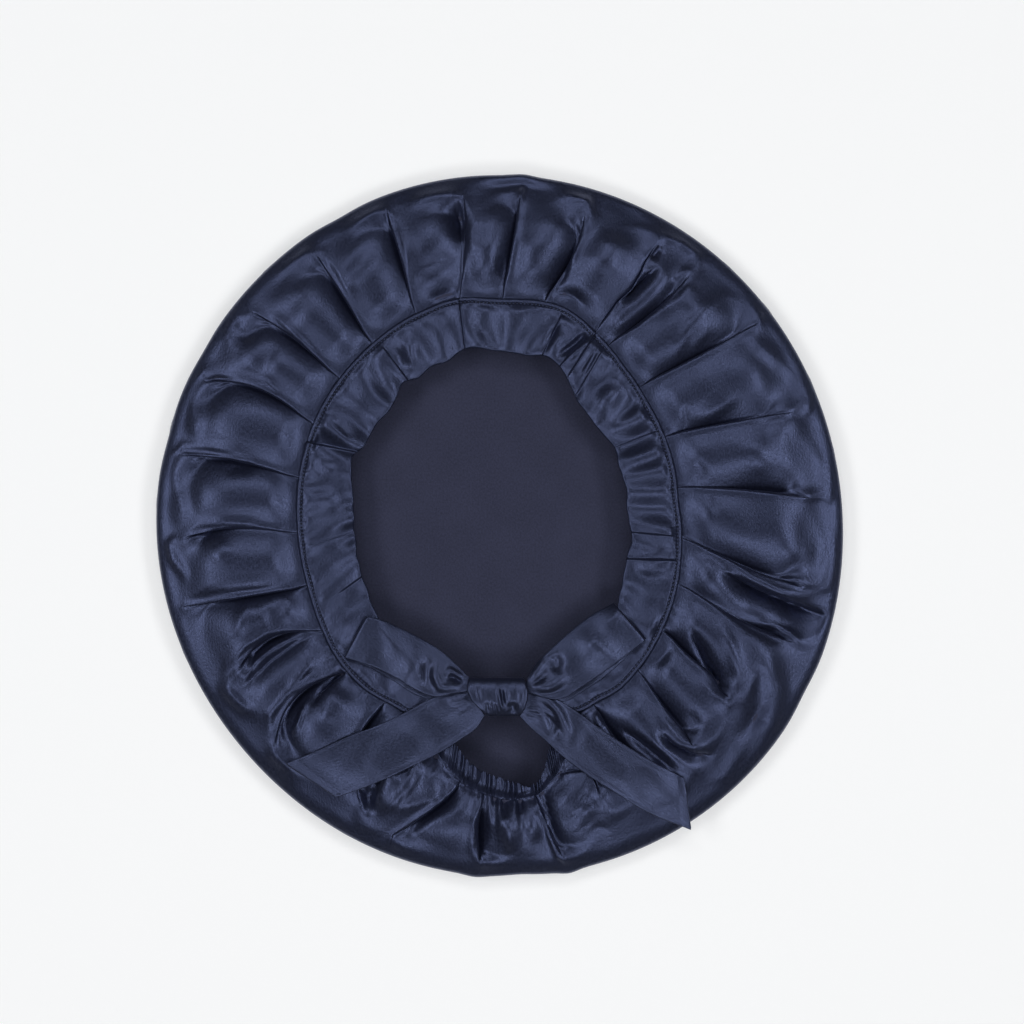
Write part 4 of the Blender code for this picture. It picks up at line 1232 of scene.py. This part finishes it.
TAIL_CREASES = {
    "tail_left": (
        (-1.3, 1.3, ((-28.5, -86.4), (-23.5, -88.4), (-18.5, -87.4), (-14.5, -84.6))),
        (0.8, 1.8, ((-27, -83.6), (-21, -84.6), (-16, -82))),
        (0.6, 7, ((-44, -90), (-40, -100), (-34, -110))),
        (-0.7, 6, ((-68, -99), (-62, -110), (-55, -121))),
        (0.6, 7, ((-86, -107), (-79, -116), (-70, -127))),
    ),
    "tail_right": (
        (2, 2.4, ((14, -81.4), (22.6, -83.8), (28.2, -90.6), (31.6, -98.6), (31.6, -107))),
        (-2, 2.4, ((19, -86.2), (23.2, -90), (25.2, -96), (25.4, -102.4))),
        (0.9, 0.8, ((12, -88.8), (16.5, -88.6), (20.8, -89.6))),
        (-0.7, 0.7, ((11.6, -90.2), (16, -90.2), (20, -91.4))),
        (0.6, 0.8, ((11.6, -91.6), (15.6, -92), (18.8, -93.4))),
        (0.6, 7, ((62, -108), (59, -120), (55, -129))),
        (-0.6, 6, ((78, -117), (77, -128), (74, -140))),
    ),
}
LOOP_CREASES = {
    "loop_left": (
        (0.9, 7, ((-45, -51), (-43.5, -64), (-42, -78))),
        (-1.7, 2.6, ((-36, -63.5), (-35.4, -70), (-34.6, -80))),
        (1.8, 1.9, ((-31, -63), (-32, -72), (-29, -77.6), (-17.5, -78.4))),
        (-2.2, 1.3, ((-26.4, -74.6), (-23.4, -72.6), (-17.5, -76.2))),
        (1.3, 1.3, ((-27.6, -72.6), (-24.4, -69.4), (-17, -74))),
        (-0.6, 4.5, ((-54, -49), (-57, -58), (-60.5, -66.5))),
    ),
    "loop_right": (
        (-2.4, 3.2, ((24.6, -61), (27.4, -66.5), (26, -72))),
        (1.4, 1.8, ((13.6, -76.4), (17, -70), (22.5, -62.5))),
        (1.3, 2.2, ((14, -78.6), (24, -77), (34, -71))),
        (-1.4, 1.1, ((13.8, -76.6), (18.6, -74.4), (23, -70))),
        (-0.8, 1.6, ((15, -80.4), (24, -80.6), (33, -77.4))),
        (0.8, 7, ((38, -48), (43, -58), (47, -69))),
    ),
}


def add_creases(x, y, height, creases):
    for amount, width, line in creases:
        height = height + amount * crease(x, y, line, width, width)
    return height


def make_tail(name, rows, sizes, trees):
    """A flat sewn tie laid over the pleats, with a hem across its slanted end."""
    x, y, places, across = ribbon_plan(rows)
    thickness = sizes.thickness / MM
    bed = bridged(bed_height(trees, x, y), 5, 3) + thickness / 2 + 0.35
    knot_level = TAIL_START + 0.6 * np.sin(np.pi * across)
    bed[:HELD_ROWS] = np.minimum(bed[:HELD_ROWS], knot_level + 1.0)
    height = settle(bed, knot_level, 0.004)
    height = np.maximum(add_creases(x, y, height, TAIL_CREASES[name]), bed)
    # A stitched hem: the end is double, with a furrow where it is sewn. A seam runs along both sides.
    from_hem = (places[-1] - places)[:, None] - sizes.hem / MM
    height += 0.28 * smooth(-from_hem / 0.5) - 0.18 * bell(from_hem / 0.4)
    from_side = np.minimum(across, 1 - across)[None, :] * RIBBON_WIDTH
    height -= 0.12 * bell((from_side - 1.3) / 0.5)
    return ribbon_piece(name, np.stack((x, y, height), axis=-1), thickness, places, across)


def make_loop(name, rows, sizes, trees):
    """A tie that runs out from the knot, folds over and comes back on top of itself."""
    x, y, places, across = ribbon_plan(rows)
    part = (places / places[-1])[:, None]
    thickness = sizes.thickness / MM
    bed = bed_height(trees, x, y) + thickness / 2 + 0.3
    bed[:HELD_ROWS] = np.minimum(bed[:HELD_ROWS], LOOP_START)
    low = settle(bed, LOOP_START, 0.006)
    rise = sizes.loop_rise / MM * (0.42 + 0.58 * np.sin(np.pi * part) ** 0.8)
    lowest = low + thickness + 0.2
    high = lowest + rise * (0.80 + 0.35 * np.sin(np.pi * across)[None, :])
    high = np.maximum(add_creases(x, y, high, LOOP_CREASES[name]), lowest)
    # The lower ply shows as a thin lens past the near edge of the upper one.
    side = np.stack((x[:, -1] - x[:, 0], y[:, -1] - y[:, 0]), axis=-1)
    side *= 2.6 * np.sin(np.pi * part) ** 1.3 / np.linalg.norm(side, axis=1, keepdims=True)
    low_grid = np.stack((x + side[:, :1], y + side[:, 1:], low), axis=-1)
    high_grid = np.stack((x, y, high), axis=-1)
    # A half turn at the far end joins the two plies.
    out = high_grid[-1] - high_grid[-2]
    out[:, 2] = 0
    out /= np.linalg.norm(out, axis=1, keepdims=True)
    radius = (high_grid[-1, :, 2:] - low_grid[-1, :, 2:]) / 2
    centre = (high_grid[-1] + low_grid[-1]) / 2
    bend = []
    for angle in np.radians((-60, -30, 0, 30, 60)):
        bend.append(centre + radius * (out * math.cos(angle) + np.array((0, 0, math.sin(angle)))))
    grid = np.concatenate((low_grid, np.array(bend), high_grid[::-1]))
    middle = grid[:, RIBBON_COLUMNS // 2]
    along = np.concatenate(([0], np.cumsum(np.linalg.norm(np.diff(middle, axis=0), axis=1))))
    return ribbon_piece(name, grid, thickness, along, across)


KNOT_SIDES = (
    # y_mm, left_mm, right_mm
    (-93, -5.6, 8.8),
    (-91.4, -6.8, 9.8),
    (-88, -10.4, 11.8),
    (-84, -14.2, 12.9),
    (-79.4, -16, 13.2),
    (-75, -16.2, 12.2),
    (-72.5, -16, 11.4),
)
KNOT_CREASES = (
    (-1.9, 0.75, ((0, -76.6), (0.6, -80.6), (1.3, -87.4))),
    (0.9, 0.9, ((-1.3, -74.6), (-1.1, -80.6), (0.8, -87.4), (2.8, -91.6))),
    (0.5, 1.3, ((2.2, -76), (2.8, -81), (3.2, -87))),
    (-0.8, 0.6, ((-4.8, -83.6), (-4.3, -87.6), (-4.1, -91.8))),
    (-0.8, 0.5, ((-2.9, -84.4), (-2.3, -88), (-1.6, -91.8))),
    (-0.7, 0.9, ((-7, -83.4), (-6.4, -87.4), (-5.4, -91))),
    (-1.5, 1.9, ((4.6, -84), (5.8, -87.4), (6.4, -91.4))),
    (0.6, 1.6, ((9.4, -77), (9.8, -83), (8.8, -89))),
    (-0.4, 1.2, ((-11.6, -75.5), (-11, -80), (-9.6, -85))),
)


def make_knot(sizes):
    """The ribbon's wrap round the middle of the bow, pinched and pleated, with rounded ends."""
    centre_y, centre_z = KNOT_CENTRE
    half_depth = sizes.knot_depth / MM / 2
    half_length = 9.3
    around = np.linspace(0, 2 * np.pi, 97)[:-1]
    body = np.linspace(-0.985, 0.985, 61)
    edge = np.clip((1 - np.abs(body)) / 0.10, 0.0, 1.0)
    cap_parts = np.array((0.86, 0.96, 1.0))
    cap_scales = np.array((0.30, 0.66, 0.80))
    body_scales = 0.86 + 0.14 * np.sqrt(1 - (1 - edge) ** 2)
    parts = np.concatenate((-cap_parts, body, cap_parts[::-1]))
    scales = np.concatenate((cap_scales, body_scales, cap_scales[::-1]))
    # A superellipse a little squarer than a circle.
    cosine, sine = (np.sign(wave) * np.abs(wave) ** 0.85 for wave in (np.cos(around), np.sin(around)))
    sides = np.array(KNOT_SIDES, float)
    y = centre_y + half_length * cosine
    left = np.interp(y, sides[:, 0], sides[:, 1])
    right = np.interp(y, sides[:, 0], sides[:, 2])
    grid = np.empty((len(parts), len(around), 3))
    for row, (part, scale) in enumerate(zip(parts, scales)):
        x = (left + right) / 2 + part * (right - left) / 2
        swell = np.zeros(len(around))
        if len(cap_parts) <= row < len(parts) - len(cap_parts):
            swell = add_creases(x, y, 0.03 * ripples(x, y, 2.2, 8, 61, 6.0), KNOT_CREASES)
            swell *= smooth(sine / 0.35 + 0.5)
        grid[row, :, 0] = x
        grid[row, :, 1] = centre_y + (half_length * scale + 0.6 * swell) * cosine
        grid[row, :, 2] = centre_z + (half_depth * scale + swell) * sine
    flat = np.stack(np.broadcast_arrays(parts[:, None] * 14, around[None, :] * 7.5), axis=-1)
    points, faces, flat = tube_shell(grid, flat)
    return face_out(add_mesh("knot_wrap", points, faces, (material_of("ribbon"),), flat=flat))


# ---- stage

# The camera looks straight down, and its picture is PHOTO_WIDTH wide at the height CAMERA_LEVEL.
PHOTO_WIDTH = 1024 * 0.4843 * MM
CAMERA_X = 5.33 * MM
CAMERA_Y = 6.78 * MM
CAMERA_LEVEL = 14.0 * MM
FLOOR_HALF = 3000.0


def make_stage(sizes):
    scene = bpy.context.scene
    corners = [(x * FLOOR_HALF, y * FLOOR_HALF, 0) for x, y in ((-1, -1), (1, -1), (1, 1), (-1, 1))]
    floor = add_mesh("floor", corners, [(0, 1, 2, 3)], (material_of("floor"),))
    scene.world = bpy.data.worlds.new("studio_fill")
    scene.world.use_nodes = True
    sky = scene.world.node_tree.nodes["Background"]
    sky.inputs["Color"].default_value = (1.0, 1.0, 1.0, 1.0)
    sky.inputs["Strength"].default_value = sizes.fill
    for name, place, energy in (
        ("softbox_left", (-1.10, 0.05, 1.40), sizes.side_light),
        ("softbox_right", (1.10, 0.05, 1.40), sizes.side_light),
        ("softbox_far", (0.0, 0.95, 1.45), sizes.top_light),
        ("softbox_near", (0.0, -0.95, 1.45), sizes.near_light),
    ):
        lamp = bpy.data.lights.new(name, "AREA")
        lamp.shape = "RECTANGLE"
        lamp.size = 1.2
        lamp.size_y = 0.45
        lamp.energy = energy
        item = bpy.data.objects.new(name, lamp)
        item.location = place
        item.rotation_euler = (-Vector(place)).to_track_quat("-Z", "Y").to_euler()
        bpy.context.collection.objects.link(item)
    camera = bpy.data.cameras.new("camera")
    camera.lens = sizes.lens
    camera.sensor_width = 36.0
    view = bpy.data.objects.new("camera", camera)
    view.location = (CAMERA_X, CAMERA_Y, CAMERA_LEVEL + PHOTO_WIDTH * sizes.lens / camera.sensor_width)
    bpy.context.collection.objects.link(view)
    scene.camera = view
    scene.view_settings.view_transform = "Standard"


# ---- operators


def place_piece(item, node):
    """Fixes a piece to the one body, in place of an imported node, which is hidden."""
    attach(item, "root")
    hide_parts(node)


class BONNET_OT_stage(bpy.types.Operator):
    """Adds the floor, the soft lights and the camera"""
    bl_idname = "bonnet.stage"
    bl_label = "Stage"

    def execute(self, context):
        make_stage(context.scene.bonnet_stage)
        return {"FINISHED"}


class BONNET_OT_crown(bpy.types.Operator):
    """Makes the pleated crown"""
    bl_idname = "bonnet.crown"
    bl_label = "Crown"

    def execute(self, context):
        item = make_crown(context.scene.bonnet_crown)
        place_piece(item, "crown")
        return {"FINISHED"}


class BONNET_OT_band(bpy.types.Operator):
    """Makes the flat band round the head opening"""
    bl_idname = "bonnet.band"
    bl_label = "Band"

    def execute(self, context):
        item = make_band(context.scene.bonnet_band)
        place_piece(item, "band")
        return {"FINISHED"}


class BONNET_OT_topstitch(bpy.types.Operator):
    """Sews the row of stitches along the band's seam"""
    bl_idname = "bonnet.topstitch"
    bl_label = "Topstitching"

    def execute(self, context):
        item = make_stitches(context.scene.bonnet_band)
        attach(item, "root")
        return {"FINISHED"}


class BONNET_OT_casing(bpy.types.Operator):
    """Makes the ruched elastic casing at the nape"""
    bl_idname = "bonnet.casing"
    bl_label = "Nape casing"

    def execute(self, context):
        item = make_casing(context.scene.bonnet_band)
        place_piece(item, "nape_casing")
        return {"FINISHED"}


class BONNET_OT_loops(bpy.types.Operator):
    """Makes the two loops of the bow"""
    bl_idname = "bonnet.loops"
    bl_label = "Bow loops"

    def execute(self, context):
        trees = trees_of("band_cloth", "crown_cloth")
        for name, rows in (("loop_left", LOOP_LEFT), ("loop_right", LOOP_RIGHT)):
            item = make_loop(name, rows, context.scene.bonnet_bow, trees)
            place_piece(item, name)
        return {"FINISHED"}


class BONNET_OT_tails(bpy.types.Operator):
    """Makes the two tails of the bow and lays them over the pleats"""
    bl_idname = "bonnet.tails"
    bl_label = "Bow tails"

    def execute(self, context):
        trees = trees_of("band_cloth", "crown_cloth", "casing_cloth")
        for name, rows in (("tail_left", TAIL_LEFT), ("tail_right", TAIL_RIGHT)):
            item = make_tail(name, rows, context.scene.bonnet_bow, trees)
            place_piece(item, name)
        return {"FINISHED"}


class BONNET_OT_knot(bpy.types.Operator):
    """Makes the knot of the bow"""
    bl_idname = "bonnet.knot"
    bl_label = "Knot"

    def execute(self, context):
        item = make_knot(context.scene.bonnet_bow)
        place_piece(item, "knot")
        return {"FINISHED"}


OPERATORS = (
    BONNET_OT_stage, BONNET_OT_crown, BONNET_OT_band, BONNET_OT_topstitch, BONNET_OT_casing,
    BONNET_OT_loops, BONNET_OT_tails, BONNET_OT_knot,
)


class BONNET_PT_panel(bpy.types.Panel):
    bl_idname = "BONNET_PT_panel"
    bl_label = "Sleep bonnet"
    bl_space_type = "VIEW_3D"
    bl_region_type = "UI"
    bl_category = "Bonnet"

    def draw(self, context):
        for kind in OPERATORS:
            self.layout.operator(kind.bl_idname)
        for name, group in SETTINGS.items():
            box = self.layout.box()
            for setting in group.__annotations__:
                box.prop(getattr(context.scene, name), setting)


def register():
    for kind in (*SETTINGS.values(), *OPERATORS, BONNET_PT_panel):
        bpy.utils.register_class(kind)
    for name, group in SETTINGS.items():
        setattr(bpy.types.Scene, name, PointerProperty(type=group))


def unregister():
    for name in SETTINGS:
        delattr(bpy.types.Scene, name)
    for kind in reversed((*SETTINGS.values(), *OPERATORS, BONNET_PT_panel)):
        bpy.utils.unregister_class(kind)


def main():
    register()
    for kind in OPERATORS:
        group, name = kind.bl_idname.split(".")
        getattr(getattr(bpy.ops, group), name)()


if __name__ == "__main__":
    main()
